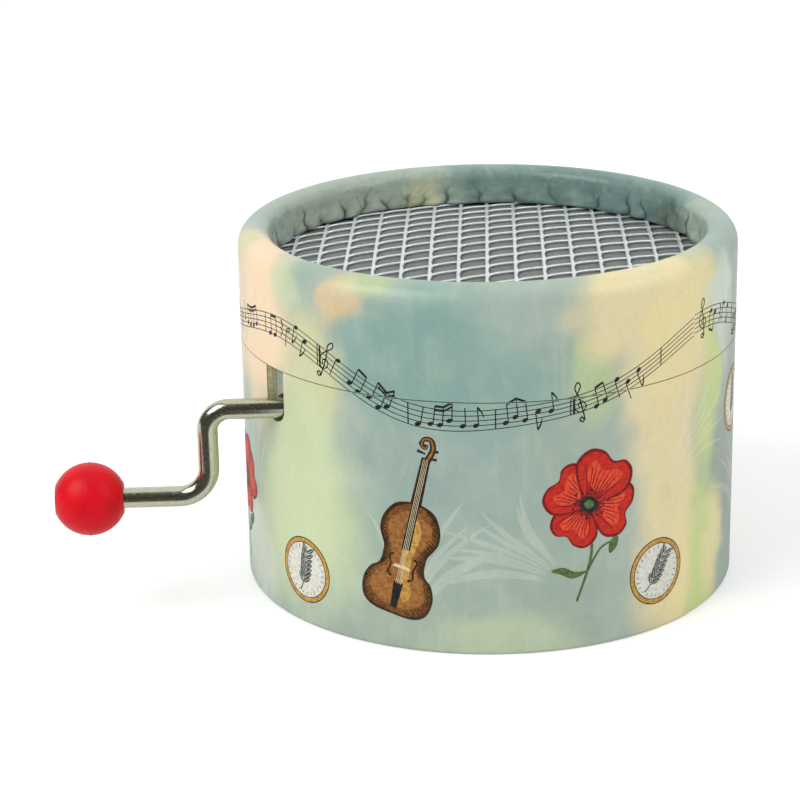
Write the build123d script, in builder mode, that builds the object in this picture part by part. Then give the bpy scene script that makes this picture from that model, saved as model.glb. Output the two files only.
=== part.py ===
from build123d import *
import os
from math import cos, pi, radians, sin

# Hand-crank music box in a drum of two paper-covered board halves.
# Millimetres. Origin at the centre of the base, +Z up, the crank runs out along -X.

# ---------------------------------------------------------------- driving sizes: drum
drum_diameter = 70.0
drum_height = 50.8
seam_height = 35.4
seam_gap = 0.12
paper = 0.2
tube_wall = 1.0
rim_wall = 4.7
rim_outer_round = 2.8
base_round = 0.6
wrap_lift = 0.4
neck_wall = 1.4
neck_depth = 10.0
neck_clearance = 0.05
base_thickness = 3.0
base_recess = 2.0

# ---------------------------------------------------------------- driving sizes: grille
mesh_depth = 5.5
mesh_thickness = 0.5
backing_thickness = 1.0
grille_clearance = 0.1
mesh_border = 2.0
strand_spacing = 3.92
cross_pitch = 4.06
cross_angle = 30.0
mesh_turn = -4.0
strand_width = 0.7
cross_width = 0.5

# ---------------------------------------------------------------- driving sizes: crank and knob
wire_diameter = 2.8
crank_height = 29.8
crank_offset = 17.7
crank_reach = 39.4
crank_throw = 12.4
crank_bend = 3.0
grip_run = 16.4
notch_clearance = 0.5
knob_diameter = 10.1
knob_length = 9.2
knob_edge = 0.3
knob_wall = 2.0
head_diameter = 3.3
head_length = 1.2
running_clearance = 0.05
end_float = 0.1

# ---------------------------------------------------------------- driving sizes: movement
cylinder_x = -10.0
barrel_diameter = 13.0
barrel_length = 19.5
barrel_wall = 0.4
cap_thickness = 1.5
arbor_diameter = 2.0
pin_diameter = 0.4
pin_height = 0.45
track_pitch = 0.95
track_count = 18
first_track_inset = 1.7
gear_teeth = 22
worm_lead = 1.9
worm_length = 9.2
worm_mean_radius = 2.15
thread_height = 0.5
gear_addendum = 0.25
gear_dedendum = 0.65
gear_width = 2.0
gear_hub_diameter = 7.0
gear_hub_length = 0.5
tooth_tip = 0.3
tooth_root = 1.1
post_spacing = 19.0
post_thickness = 1.6
post_width = 5.4
collar_diameter = 5.0
collar_length = 1.3
bearing_width = 7.0
bearing_thickness = 1.8
bearing_float = 0.4
bed_thickness = 1.6
bed_length = 42.0
bed_width = 33.0
bed_x = -2.0
bed_y = -6.2
bed_corner = 2.5
bed_drop = 1.15
riser_margin = 1.0

# ---------------------------------------------------------------- driving sizes: comb and screws
comb_clearance = 0.15
comb_thickness = 1.0
tooth_thickness = 0.55
tooth_gap = 0.2
treble_length = 8.1
bass_length = 12.1
comb_back = 20.9
comb_margin = 1.0
rail_depth = 8.0
weight_count = 9
weight_length = 3.0
weight_height = 1.5
weight_inset = 1.0
comb_screw_diameter = 2.2
comb_screw_spacing = 10.0
small_screw_diameter = 1.8
mount_screw_diameter = 2.5
mount_inset = 3.5
head_ratio = 1.9
head_height = 1.1
slot_width = 0.5
slot_depth = 0.5
washer_diameter = 6.0
washer_thickness = 0.4
screw_bite = 0.4

# ---------------------------------------------------------------- derived drum radii and levels
drum_radius = drum_diameter / 2
tube_radius = drum_radius - paper
tube_bore = tube_radius - tube_wall
neck_radius = tube_bore - neck_clearance
neck_bore = neck_radius - neck_wall
rim_bore = drum_radius - rim_wall
rim_inner_round = rim_wall - rim_outer_round
crest_radius = drum_radius - rim_outer_round
lid_floor = seam_height + seam_gap
mesh_top = drum_height - mesh_depth
mesh_bottom = mesh_top - mesh_thickness
backing_bottom = mesh_bottom - backing_thickness
neck_bottom = seam_height - neck_depth
base_top = base_recess + base_thickness
grille_radius = tube_bore - grille_clearance

# ---------------------------------------------------------------- derived crank and gear levels
wire_radius = wire_diameter / 2
crank_y = -crank_offset
notch_width = wire_diameter + 2 * notch_clearance
slot_reach = drum_radius + 1 + cylinder_x - post_spacing / 2
grip_height = crank_height - crank_throw
knob_x = -(crank_reach + grip_run)
gear_pitch_radius = gear_teeth * worm_lead / (2 * pi)
gear_tip_radius = gear_pitch_radius + gear_addendum
gear_root_radius = gear_pitch_radius - gear_dedendum
axle_height = crank_height - worm_mean_radius - gear_pitch_radius
barrel_radius = barrel_diameter / 2
barrel_bore = barrel_radius - barrel_wall
pin_circle = barrel_radius + pin_height
barrel_start = crank_y + gear_width / 2 + gear_hub_length
barrel_end = barrel_start + barrel_length
bed_top = axle_height - pin_circle - bed_drop
bed_bottom = bed_top - bed_thickness
front_post_y = crank_y - gear_width / 2 - bearing_float
rear_post_y = barrel_end + bearing_float

# ---------------------------------------------------------------- derived comb places
tip_x = cylinder_x + pin_circle + comb_clearance
first_track = barrel_start + first_track_inset
last_track = first_track + (track_count - 1) * track_pitch
tooth_width = track_pitch - tooth_gap
comb_bottom = axle_height - comb_thickness / 2
comb_top = comb_bottom + comb_thickness
tooth_bottom = axle_height - tooth_thickness / 2
comb_front = first_track - tooth_width / 2 - comb_margin
comb_rear = last_track + tooth_width / 2 + comb_margin
comb_end = tip_x + comb_back
comb_screw_x = comb_end - rail_depth / 2
comb_middle = (comb_front + comb_rear) / 2
comb_screw_places = [
    (comb_screw_x, comb_middle - comb_screw_spacing / 2),
    (comb_screw_x, comb_middle + comb_screw_spacing / 2),
]
mount_left = bed_x - bed_length / 2 + mount_inset
mount_right = bed_x + bed_length / 2 - mount_inset
mount_front = bed_y - bed_width / 2 + mount_inset
mount_rear = bed_y + bed_width / 2 - mount_inset
mount_places = [
    (mount_left, mount_rear),
    (mount_right, mount_front),
    (mount_right, mount_rear),
]
bearing_foot = small_screw_diameter * head_ratio + 1.0
bearing_screw_y = rear_post_y + bearing_thickness + bearing_foot / 2
grip_axis = Axis((0, crank_y, grip_height), (1, 0, 0))

os.makedirs("parts", exist_ok=True)


# ---------------------------------------------------------------- shared shapes
def rim_outline(inset, floor):
    """Half section of the upper wall, drawn inset from the paper's outer face."""
    inner = rim_bore + inset
    outer = drum_radius - inset
    outer_round = rim_outer_round - inset
    inner_round = rim_inner_round - inset
    centre_out = (crest_radius, drum_height - rim_outer_round)
    centre_in = (crest_radius, drum_height - rim_inner_round)
    with BuildSketch() as outline:
        with BuildLine():
            Line((inner, floor), (inner, centre_in[1]))
            CenterArc(centre_in, inner_round, 180, -90)
            CenterArc(centre_out, outer_round, 90, -90)
            Line((outer, centre_out[1]), (outer, floor))
            Line((outer, floor), (inner, floor))
        make_face()
    return outline.sketch


def crank_slot(top, bottom):
    """Slot across the crank's line, round where it passes the wire, to be cut along X."""
    with BuildSketch(Plane.YZ.offset(-drum_radius - 1)) as slot:
        with Locations((crank_y, crank_height)):
            Circle(notch_width / 2)
        with Locations((crank_y, (top + bottom) / 2)):
            Rectangle(notch_width, top - bottom)
    return slot.sketch


def screw(place, seat, tip, diameter, direction):
    """Slotted pan-head screw whose head rests on the level seat."""
    head_radius = diameter * head_ratio / 2
    head_end = seat + direction * head_height
    with Locations((place[0], place[1], (head_end + seat) / 2)):
        Cylinder(head_radius, head_height)
    with Locations((place[0], place[1], (seat + tip) / 2)):
        Cylinder(diameter / 2, abs(seat - tip))
    with Locations((place[0], place[1], head_end - direction * slot_depth / 2)):
        Box(head_radius * 2.2, slot_width, slot_depth, mode=Mode.SUBTRACT)


# ---------------------------------------------------------------- lower half of the drum
with BuildPart() as lower_tube:
    with BuildSketch(Plane.XY):
        Circle(tube_radius)
        Circle(tube_bore, mode=Mode.SUBTRACT)
    extrude(amount=seam_height)
    bottom_edges = lower_tube.edges().group_by(Axis.Z)[0]
    fillet(bottom_edges.sort_by(SortBy.RADIUS)[-1], base_round)
    extrude(crank_slot(seam_height + 1, crank_height), amount=slot_reach, mode=Mode.SUBTRACT)
lower_tube.part.label = "lower_tube"
export_step(lower_tube.part, "parts/lower_tube.step")

with BuildPart() as lower_wrap:
    with BuildSketch(Plane.XY.offset(wrap_lift + base_round)):
        Circle(drum_radius)
        Circle(tube_radius, mode=Mode.SUBTRACT)
    extrude(amount=seam_height - wrap_lift - base_round)
    extrude(crank_slot(seam_height + 1, crank_height), amount=slot_reach, mode=Mode.SUBTRACT)
lower_wrap.part.label = "lower_wrap"
export_step(lower_wrap.part, "parts/lower_wrap.step")

with BuildPart() as base_disc:
    with BuildSketch(Plane.XY.offset(base_recess)):
        Circle(tube_bore)
        with Locations(*mount_places):
            Circle(mount_screw_diameter / 2, mode=Mode.SUBTRACT)
    extrude(amount=base_thickness)
base_disc.part.label = "base_disc"
export_step(base_disc.part, "parts/base_disc.step")

# The block under the movement brings the crank up to the notch.
with BuildPart() as riser_block:
    with BuildSketch(Plane.XY.offset(base_top)):
        with Locations((bed_x, bed_y)):
            Rectangle(bed_length - 2 * riser_margin, bed_width - 2 * riser_margin)
        with Locations(*mount_places):
            Circle(mount_screw_diameter / 2, mode=Mode.SUBTRACT)
    extrude(amount=bed_bottom - base_top)
riser_block.part.label = "riser_block"
export_step(riser_block.part, "parts/riser_block.step")

# ---------------------------------------------------------------- upper half of the drum
# The board tube and the thick ring in its mouth share one rounded crest.
with BuildPart() as upper_tube:
    with BuildSketch(Plane.XZ):
        add(rim_outline(paper, lid_floor))
        with Locations((0, lid_floor)):
            Rectangle(tube_bore, drum_height, align=(Align.MIN, Align.MIN), mode=Mode.SUBTRACT)
    revolve(axis=Axis.Z)
upper_tube.part.label = "upper_tube"
export_step(upper_tube.part, "parts/upper_tube.step")

with BuildPart() as rim_ring:
    with BuildSketch(Plane.XZ):
        add(rim_outline(paper, mesh_top))
        with Locations((tube_bore, mesh_top)):
            Rectangle(rim_wall, drum_height, align=(Align.MIN, Align.MIN), mode=Mode.SUBTRACT)
    revolve(axis=Axis.Z)
rim_ring.part.label = "rim_ring"
export_step(rim_ring.part, "parts/rim_ring.step")

# The paper goes up the outside, over the crest and down to the mesh.
with BuildPart() as upper_wrap:
    with BuildSketch(Plane.XZ):
        add(rim_outline(0, lid_floor))
        add(rim_outline(paper, lid_floor - 1), mode=Mode.SUBTRACT)
        with Locations((0, lid_floor)):
            Rectangle(
                crest_radius,
                mesh_top - lid_floor,
                align=(Align.MIN, Align.MIN),
                mode=Mode.SUBTRACT,
            )
    revolve(axis=Axis.Z)
upper_wrap.part.label = "upper_wrap"
export_step(upper_wrap.part, "parts/upper_wrap.step")

with BuildPart() as neck_sleeve:
    with BuildSketch(Plane.XY.offset(neck_bottom)):
        Circle(neck_radius)
        Circle(neck_bore, mode=Mode.SUBTRACT)
    extrude(amount=backing_bottom - neck_bottom)
    extrude(crank_slot(crank_height, neck_bottom - 1), amount=slot_reach, mode=Mode.SUBTRACT)
neck_sleeve.part.label = "neck_sleeve"
export_step(neck_sleeve.part, "parts/neck_sleeve.step")

with BuildPart() as grille_backing:
    with BuildSketch(Plane.XY.offset(backing_bottom)):
        Circle(grille_radius)
    extrude(amount=backing_thickness)
grille_backing.part.label = "grille_backing"
export_step(grille_backing.part, "parts/grille_backing.step")

# Expanded mesh: straight strands one way, slanting cross strands between them.
strand_angle = 90 + mesh_turn
cross_direction = mesh_turn + cross_angle
strand_step = Vector(cross_pitch, 0).rotate(Axis.Z, strand_angle)
cross_step = Vector(strand_spacing / cos(radians(cross_angle)), 0).rotate(Axis.Z, cross_direction)
gap_along = cross_pitch - cross_width / cos(radians(cross_angle))
gap_across = strand_spacing - strand_width
strand_unit = Vector(1, 0).rotate(Axis.Z, strand_angle)
cross_unit = Vector(1, 0).rotate(Axis.Z, cross_direction)
half_along = strand_unit * (gap_along / 2)
half_cross = cross_unit * (gap_across / cos(radians(cross_angle)) / 2)
gap_radius = grille_radius - mesh_border
lattice_reach = int(2 * grille_radius / cross_pitch)
gap_centres = [
    strand_step * i + cross_step * j
    for i in range(-lattice_reach, lattice_reach + 1)
    for j in range(-lattice_reach, lattice_reach + 1)
    if (strand_step * i + cross_step * j).length < gap_radius
]
gap_corners = [
    half_along + half_cross,
    half_along - half_cross,
    half_along * -1 - half_cross,
    half_cross - half_along,
]
gap_outline = [(corner.X, corner.Y) for corner in gap_corners]

with BuildPart() as mesh_grille:
    with BuildSketch(Plane.XY.offset(mesh_bottom)):
        Circle(grille_radius)
    extrude(amount=mesh_thickness)
    with BuildSketch(Plane.XY.offset(mesh_bottom)):
        with Locations(*gap_centres):
            Polygon(*gap_outline, align=None)
        Circle(gap_radius, mode=Mode.INTERSECT)
    extrude(amount=mesh_thickness, mode=Mode.SUBTRACT)
mesh_grille.part.label = "mesh_grille"
export_step(mesh_grille.part, "parts/mesh_grille.step")
print("mesh gaps", len(gap_centres))

# ---------------------------------------------------------------- bedplate of the movement
with BuildPart() as bedplate:
    with BuildSketch(Plane.XY.offset(bed_bottom)):
        with Locations((bed_x, bed_y)):
            RectangleRounded(bed_length, bed_width, bed_corner)
        with Locations(*mount_places):
            Circle(mount_screw_diameter / 2, mode=Mode.SUBTRACT)
    extrude(amount=bed_thickness)
    # two posts that carry the crank
    for side in (-1, 1):
        with BuildSketch(Plane.YZ.offset(cylinder_x + side * post_spacing / 2)):
            with Locations((crank_y, (bed_top + crank_height) / 2)):
                Rectangle(post_width, crank_height - bed_top)
            with Locations((crank_y, crank_height)):
                Circle(post_width / 2)
                Circle(wire_radius + running_clearance, mode=Mode.SUBTRACT)
        extrude(amount=post_thickness / 2, both=True)
    # post outside the worm wheel
    with BuildSketch(Plane.XZ.offset(-front_post_y)):
        with Locations((cylinder_x, (bed_top + axle_height) / 2)):
            Rectangle(bearing_width, axle_height - bed_top)
        with Locations((cylinder_x, axle_height)):
            Circle(bearing_width / 2)
            Circle(arbor_diameter / 2 + running_clearance, mode=Mode.SUBTRACT)
    extrude(amount=bearing_thickness)
    # rail under the comb
    with BuildSketch(Plane.XY.offset(bed_top)):
        with Locations((comb_screw_x, comb_middle)):
            Rectangle(rail_depth, comb_rear - comb_front)
        with Locations(*comb_screw_places):
            Circle(comb_screw_diameter / 2, mode=Mode.SUBTRACT)
    extrude(amount=comb_bottom - bed_top)
    with Locations((cylinder_x, bearing_screw_y, bed_top)):
        Cylinder(
            small_screw_diameter / 2,
            bed_thickness * 2,
            mode=Mode.SUBTRACT,
        )
bedplate.part.label = "bedplate"
export_step(bedplate.part, "parts/bedplate.step")

with BuildPart() as rear_bearing:
    with BuildSketch(Plane.XZ.offset(-rear_post_y)):
        with Locations((cylinder_x, (bed_top + axle_height) / 2)):
            Rectangle(bearing_width, axle_height - bed_top)
        with Locations((cylinder_x, axle_height)):
            Circle(bearing_width / 2)
            Circle(arbor_diameter / 2 + running_clearance, mode=Mode.SUBTRACT)
    extrude(amount=-bearing_thickness)
    with BuildSketch(Plane.XY.offset(bed_top)):
        with Locations((cylinder_x, bearing_screw_y)):
            Rectangle(bearing_width, bearing_foot)
            Circle(small_screw_diameter / 2, mode=Mode.SUBTRACT)
    extrude(amount=bearing_thickness)
rear_bearing.part.label = "rear_bearing"
export_step(rear_bearing.part, "parts/rear_bearing.step")

with BuildPart() as bearing_screw:
    screw(
        (cylinder_x, bearing_screw_y),
        bed_top + bearing_thickness,
        bed_bottom + screw_bite,
        small_screw_diameter,
        1,
    )
bearing_screw.part.label = "bearing_screw"
export_step(bearing_screw.part, "parts/bearing_screw.step")

with BuildPart() as mounting_washers:
    with BuildSketch(Plane.XY.offset(base_recess)):
        with Locations(*mount_places):
            Circle(washer_diameter / 2)
            Circle(mount_screw_diameter / 2, mode=Mode.SUBTRACT)
    extrude(amount=-washer_thickness)
mounting_washers.part.label = "mounting_washers"
export_step(mounting_washers.part, "parts/mounting_washers.step")

with BuildPart() as mounting_screws:
    for place in mount_places:
        screw(
            place,
            base_recess - washer_thickness,
            bed_top - screw_bite,
            mount_screw_diameter,
            -1,
        )
mounting_screws.part.label = "mounting_screws"
export_step(mounting_screws.part, "parts/mounting_screws.step")

# ---------------------------------------------------------------- comb
# The teeth end on one line beside the pins. Their roots run slantwise, long at the bass end.
with BuildPart() as comb:
    with BuildSketch(Plane.XY.offset(comb_bottom)):
        with BuildLine():
            Polyline(
                (tip_x + treble_length, comb_front),
                (comb_end, comb_front),
                (comb_end, comb_rear),
                (tip_x + bass_length, comb_rear),
                close=True,
            )
        make_face()
        with Locations(*comb_screw_places):
            Circle(comb_screw_diameter / 2, mode=Mode.SUBTRACT)
    extrude(amount=comb_thickness)
    with BuildSketch(Plane.XY.offset(tooth_bottom)):
        for track in range(track_count):
            with Locations((tip_x, first_track + track * track_pitch)):
                Rectangle(bass_length + 1.0, tooth_width, align=(Align.MIN, Align.CENTER))
    extrude(amount=tooth_thickness)
comb.part.label = "comb"
export_step(comb.part, "parts/comb.step")

with BuildPart() as comb_weights:
    with BuildSketch(Plane.XY.offset(tooth_bottom)):
        for track in range(track_count - weight_count, track_count):
            with Locations((tip_x + weight_inset, first_track + track * track_pitch)):
                Rectangle(weight_length, tooth_width, align=(Align.MIN, Align.CENTER))
    extrude(amount=-weight_height)
comb_weights.part.label = "comb_weights"
export_step(comb_weights.part, "parts/comb_weights.step")

with BuildPart() as comb_screws:
    for place in comb_screw_places:
        screw(place, comb_top, bed_top + screw_bite, comb_screw_diameter, 1)
comb_screws.part.label = "comb_screws"
export_step(comb_screws.part, "parts/comb_screws.step")

# ---------------------------------------------------------------- pinned cylinder
with BuildPart() as cylinder_barrel:
    with BuildSketch(Plane.XZ.offset(-barrel_start)):
        with Locations((cylinder_x, axle_height)):
            Circle(barrel_radius)
            Circle(barrel_bore, mode=Mode.SUBTRACT)
    extrude(amount=-barrel_length)
cylinder_barrel.part.label = "cylinder_barrel"
export_step(cylinder_barrel.part, "parts/cylinder_barrel.step")

# A broken-chord pattern: each step of the turn sounds one or two of the tracks.
step_count = 72
pin_planes = []
for step in range(step_count):
    turn = 2 * pi * (step + 0.5) / step_count
    radial = Vector(cos(turn), 0, sin(turn))
    tracks = {(step * 5) % track_count}
    tracks.add((step * 7 + 4) % track_count)
    for track in sorted(tracks):
        foot = Vector(cylinder_x, first_track + track * track_pitch, axle_height)
        pin_planes.append(Plane(origin=foot + radial * barrel_bore, z_dir=radial))

with BuildPart() as cylinder_pins:
    with Locations(*pin_planes):
        Cylinder(
            pin_diameter / 2,
            pin_circle - barrel_bore,
            align=(Align.CENTER, Align.CENTER, Align.MIN),
        )
cylinder_pins.part.label = "cylinder_pins"
export_step(cylinder_pins.part, "parts/cylinder_pins.step")
print("pins", len(cylinder_pins.part.solids()), "of", len(pin_planes))

with BuildPart() as cylinder_caps:
    for start in (barrel_start, barrel_end - cap_thickness):
        with BuildSketch(Plane.XZ.offset(-start)):
            with Locations((cylinder_x, axle_height)):
                Circle(barrel_bore)
                Circle(arbor_diameter / 2, mode=Mode.SUBTRACT)
        extrude(amount=-cap_thickness)
cylinder_caps.part.label = "cylinder_caps"
export_step(cylinder_caps.part, "parts/cylinder_caps.step")

arbor_start = front_post_y - bearing_thickness - bearing_float
arbor_end = rear_post_y + bearing_thickness + bearing_float
with BuildPart() as cylinder_arbor:
    with BuildSketch(Plane.XZ.offset(-arbor_start)):
        with Locations((cylinder_x, axle_height)):
            Circle(arbor_diameter / 2)
    extrude(amount=arbor_start - arbor_end)
cylinder_arbor.part.label = "cylinder_arbor"
export_step(cylinder_arbor.part, "parts/cylinder_arbor.step")

# Worm wheel: one tooth stands straight up in a valley of the worm.
tooth_outline = [
    (gear_root_radius - 0.4, -tooth_root / 2),
    (gear_root_radius, -tooth_root / 2),
    (gear_tip_radius, -tooth_tip / 2),
    (gear_tip_radius, tooth_tip / 2),
    (gear_root_radius, tooth_root / 2),
    (gear_root_radius - 0.4, tooth_root / 2),
]
with BuildPart() as cylinder_gear:
    with BuildSketch(Plane.XZ.offset(-(crank_y - gear_width / 2))):
        with Locations((cylinder_x, axle_height)):
            Circle(gear_root_radius)
            with PolarLocations(0, gear_teeth, start_angle=90):
                Polygon(*tooth_outline, align=None)
            Circle(arbor_diameter / 2, mode=Mode.SUBTRACT)
    extrude(amount=-gear_width)
    with BuildSketch(Plane.XZ.offset(-(crank_y + gear_width / 2))):
        with Locations((cylinder_x, axle_height)):
            Circle(gear_hub_diameter / 2)
            Circle(arbor_diameter / 2, mode=Mode.SUBTRACT)
    extrude(amount=-gear_hub_length)
cylinder_gear.part.label = "cylinder_gear"
export_step(cylinder_gear.part, "parts/cylinder_gear.step")

# ---------------------------------------------------------------- crank
inner_end = cylinder_x + post_spacing / 2 + post_thickness / 2 + end_float + collar_length
grip_end = knob_x - knob_length / 2 + knob_wall + end_float
with BuildPart() as crank_wire:
    with BuildLine(Plane.XZ.offset(-crank_y)):
        FilletPolyline(
            (inner_end, crank_height),
            (-crank_reach, crank_height),
            (-crank_reach, grip_height),
            (grip_end, grip_height),
            radius=crank_bend,
        )
    with BuildSketch(Plane((inner_end, crank_y, crank_height), z_dir=(-1, 0, 0))):
        Circle(wire_radius)
    sweep()
    # upset head that holds the knob
    with BuildSketch(Plane.YZ.offset(grip_end)):
        with Locations((crank_y, grip_height)):
            Circle(head_diameter / 2)
    extrude(amount=head_length)
crank_wire.part.label = "crank_wire"
export_step(crank_wire.part, "parts/crank_wire.step")

# Worm: round sections set off the axis, turned a step further each time.
sections_per_turn = 12
section_count = round(worm_length / worm_lead * sections_per_turn)
with BuildPart() as crank_worm:
    for number in range(section_count + 1):
        along = worm_length * (number / section_count - 0.5)
        turn = pi / 2 + 2 * pi * along / worm_lead
        with BuildSketch(Plane.YZ.offset(cylinder_x + along)):
            with Locations(
                (crank_y + thread_height * cos(turn), crank_height + thread_height * sin(turn))
            ):
                Circle(worm_mean_radius)
    loft(ruled=True)
    with BuildSketch(Plane.YZ.offset(cylinder_x)):
        with Locations((crank_y, crank_height)):
            Circle(wire_radius)
    extrude(amount=worm_length, both=True, mode=Mode.SUBTRACT)
crank_worm.part.label = "crank_worm"
export_step(crank_worm.part, "parts/crank_worm.step")

with BuildPart() as crank_collars:
    for side in (-1, 1):
        collar_start = cylinder_x + side * (post_spacing / 2 + post_thickness / 2 + end_float)
        with BuildSketch(Plane.YZ.offset(collar_start)):
            with Locations((crank_y, crank_height)):
                Circle(collar_diameter / 2)
                Circle(wire_radius, mode=Mode.SUBTRACT)
        extrude(amount=side * collar_length)
crank_collars.part.label = "crank_collars"
export_step(crank_collars.part, "parts/crank_collars.step")

# ---------------------------------------------------------------- knob
knob_mouth = knob_x + knob_length / 2
knob_radius = knob_diameter / 2
bore_end = grip_end - end_float
with BuildPart() as crank_knob:
    with BuildSketch(Plane.XZ.offset(-crank_y)):
        with Locations((knob_x, grip_height)):
            Circle(knob_radius)
            Rectangle(knob_length, knob_diameter, mode=Mode.INTERSECT)
        with Locations((knob_x, grip_height)):
            Rectangle(
                knob_length,
                knob_diameter,
                align=(Align.CENTER, Align.MAX),
                mode=Mode.SUBTRACT,
            )
        # bore for the wire, with room for its head at the blind end
        with Locations((bore_end, grip_height)):
            Rectangle(
                knob_mouth - bore_end,
                wire_radius + running_clearance,
                align=(Align.MIN, Align.MIN),
                mode=Mode.SUBTRACT,
            )
            Rectangle(
                head_length + 2 * end_float,
                head_diameter / 2 + running_clearance,
                align=(Align.MIN, Align.MIN),
                mode=Mode.SUBTRACT,
            )
    revolve(axis=grip_axis)
    rim_edges = crank_knob.edges().filter_by(GeomType.CIRCLE)
    rim_edges = rim_edges.filter_by(lambda edge: edge.radius > head_diameter / 2 + knob_edge)
    fillet(rim_edges, knob_edge)
crank_knob.part.label = "crank_knob"
export_step(crank_knob.part, "parts/crank_knob.step")
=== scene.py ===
# %% [markdown]
# # A hand-crank music box in a paper-covered drum
#
# The object is a short drum of rolled board. It is made of two halves that fit together on
# an inner sleeve, and both halves wear one printed paper. A metal mesh lies in the mouth,
# and a bent nickel wire with a red knob turns a small pinned cylinder inside.
#
# The construction is already finished elsewhere, at real size, and this lesson dresses it.
# We load it first and keep its box, because nothing that we add may be larger.

# %% Load the finished construction
import math
import random

import bmesh
import bpy
from mathutils import Matrix, Vector, geometry


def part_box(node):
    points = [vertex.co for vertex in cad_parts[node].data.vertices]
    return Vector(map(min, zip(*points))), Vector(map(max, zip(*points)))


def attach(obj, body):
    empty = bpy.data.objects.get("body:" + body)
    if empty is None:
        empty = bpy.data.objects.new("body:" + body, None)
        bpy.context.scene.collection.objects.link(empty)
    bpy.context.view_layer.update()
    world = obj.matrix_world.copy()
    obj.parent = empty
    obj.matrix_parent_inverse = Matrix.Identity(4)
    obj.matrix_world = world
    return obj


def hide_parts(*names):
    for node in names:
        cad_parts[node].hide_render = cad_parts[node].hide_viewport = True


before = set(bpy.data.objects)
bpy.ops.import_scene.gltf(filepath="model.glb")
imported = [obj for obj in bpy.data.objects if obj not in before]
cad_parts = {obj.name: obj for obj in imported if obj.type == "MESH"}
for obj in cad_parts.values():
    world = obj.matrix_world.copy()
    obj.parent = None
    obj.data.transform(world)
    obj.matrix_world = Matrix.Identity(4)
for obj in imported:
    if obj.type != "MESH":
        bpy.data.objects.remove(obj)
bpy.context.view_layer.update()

# %% [markdown]
# ## Sizes
#
# The drum's main sizes are read from the pieces that are there, so they can't drift away.
# Only what a box can't tell, such as a rounding, is written as a number of its own.
# Everything is in metres, and `MM` turns a size in millimetres into metres.

# %% Sizes of the drum
MM = 0.001
wrap_low, wrap_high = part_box("upper_wrap")
drum_radius = wrap_high.x
drum_top = wrap_high.z
lid_floor = wrap_low.z
seam_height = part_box("lower_wrap")[1].z
mesh_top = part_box("mesh_grille")[1].z
backing_low, backing_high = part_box("grille_backing")
tube_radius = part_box("lower_tube")[1].x
rim_wall = 4.7 * MM
rim_outer_round = 2.8 * MM
rim_inner_round = rim_wall - rim_outer_round
rim_bore = drum_radius - rim_wall
crest_radius = drum_radius - rim_outer_round
print("drum", round(drum_radius / MM, 2), "radius,", round(drum_top / MM, 2), "high")
print("tube inside its paper", round(tube_radius / MM, 2), "radius")

# %% Sizes of the crank and its knob
wire_radius = 1.4 * MM
crank_reach = 39.4 * MM
upper_bend = 3.0 * MM
grip_bend = 4.1 * MM
knob_low, knob_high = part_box("crank_knob")
knob_centre = (knob_low + knob_high) / 2
wire_low, wire_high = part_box("crank_wire")
crank_y = knob_centre.y
crank_height = wire_high.z - wire_radius
grip_height = knob_centre.z
print("crank at height", round(crank_height / MM, 2), "and grip at", round(grip_height / MM, 2))

# %% [markdown]
# ## Camera
#
# The drum is seen a little from above and slightly from the left of the crank's square
# position. A long lens from about 35 cm keeps its sides nearly upright. The view is turned
# a touch to the left, so that the drum stands right of the middle and the crank has room.

# %% Camera
camera_azimuth = math.radians(-4.0)
camera_elevation = math.radians(18.67)
camera_distance = 0.354
turn_left = math.radians(2.04)
tip_down = math.radians(-0.21)
roll = math.radians(-0.36)

camera = bpy.data.objects.new("camera", bpy.data.cameras.new("camera"))
bpy.context.scene.collection.objects.link(camera)
camera.data.lens = 111.3
camera.data.sensor_width = 36.0
camera.data.clip_start = 0.01
camera.data.clip_end = 20.0
tilt = math.pi / 2 - camera_elevation
stand = Matrix.Rotation(camera_azimuth, 3, "Z") @ Matrix.Rotation(tilt, 3, "X")
aim = (
    Matrix.Rotation(turn_left, 3, "Y")
    @ Matrix.Rotation(tip_down, 3, "X")
    @ Matrix.Rotation(roll, 3, "Z")
)
towards_camera = stand @ Vector((0, 0, 1))
camera.location = Vector((0, 0, drum_top / 2)) + towards_camera * camera_distance
camera.rotation_mode = "QUATERNION"
camera.rotation_quaternion = (stand @ aim).to_quaternion()
bpy.context.scene.camera = camera
bpy.context.scene.view_settings.view_transform = "Standard"
print("camera at", [round(v, 3) for v in camera.location])

# %% [markdown]
# ## Small helpers for node materials
#
# A material here is a chain of nodes in front of one Principled shader. The helpers keep
# each chain short to write. `colour` turns a colour as a printer would name it, in sRGB,
# into the linear values that the shader works in.

# %% Helpers for nodes
def colour(code):
    """Linear RGBA of a six-digit sRGB code."""
    shares = [int(code[i : i + 2], 16) / 255 for i in (0, 2, 4)]
    linear = [s / 12.92 if s <= 0.04045 else ((s + 0.055) / 1.055) ** 2.4 for s in shares]
    return (*linear, 1.0)


def put(tree, kind, **settings):
    """A new node of a tree, with its settings."""
    node = tree.nodes.new("ShaderNode" + kind)
    for name, value in settings.items():
        setattr(node, name, value)
    return node


def feed(tree, socket, value):
    """Link a socket to another one, or give it a plain value."""
    if isinstance(value, bpy.types.NodeSocket):
        tree.links.new(value, socket)
    else:
        socket.default_value = value


print("nodes can be placed and linked")

# %% Mixing colours and values
def mixed(tree, factor, first, second):
    """Two colours mixed."""
    node = put(tree, "Mix", data_type="RGBA")
    feed(tree, node.inputs[0], factor)
    feed(tree, node.inputs[6], first)
    feed(tree, node.inputs[7], second)
    return node.outputs[2]


def ramped(tree, value, low, high, to_low=0.0, to_high=1.0):
    """A value carried smoothly from one range to another."""
    node = put(tree, "MapRange", interpolation_type="SMOOTHSTEP")
    for socket, given in zip(node.inputs, (value, low, high, to_low, to_high)):
        feed(tree, socket, given)
    return node.outputs["Result"]


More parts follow.
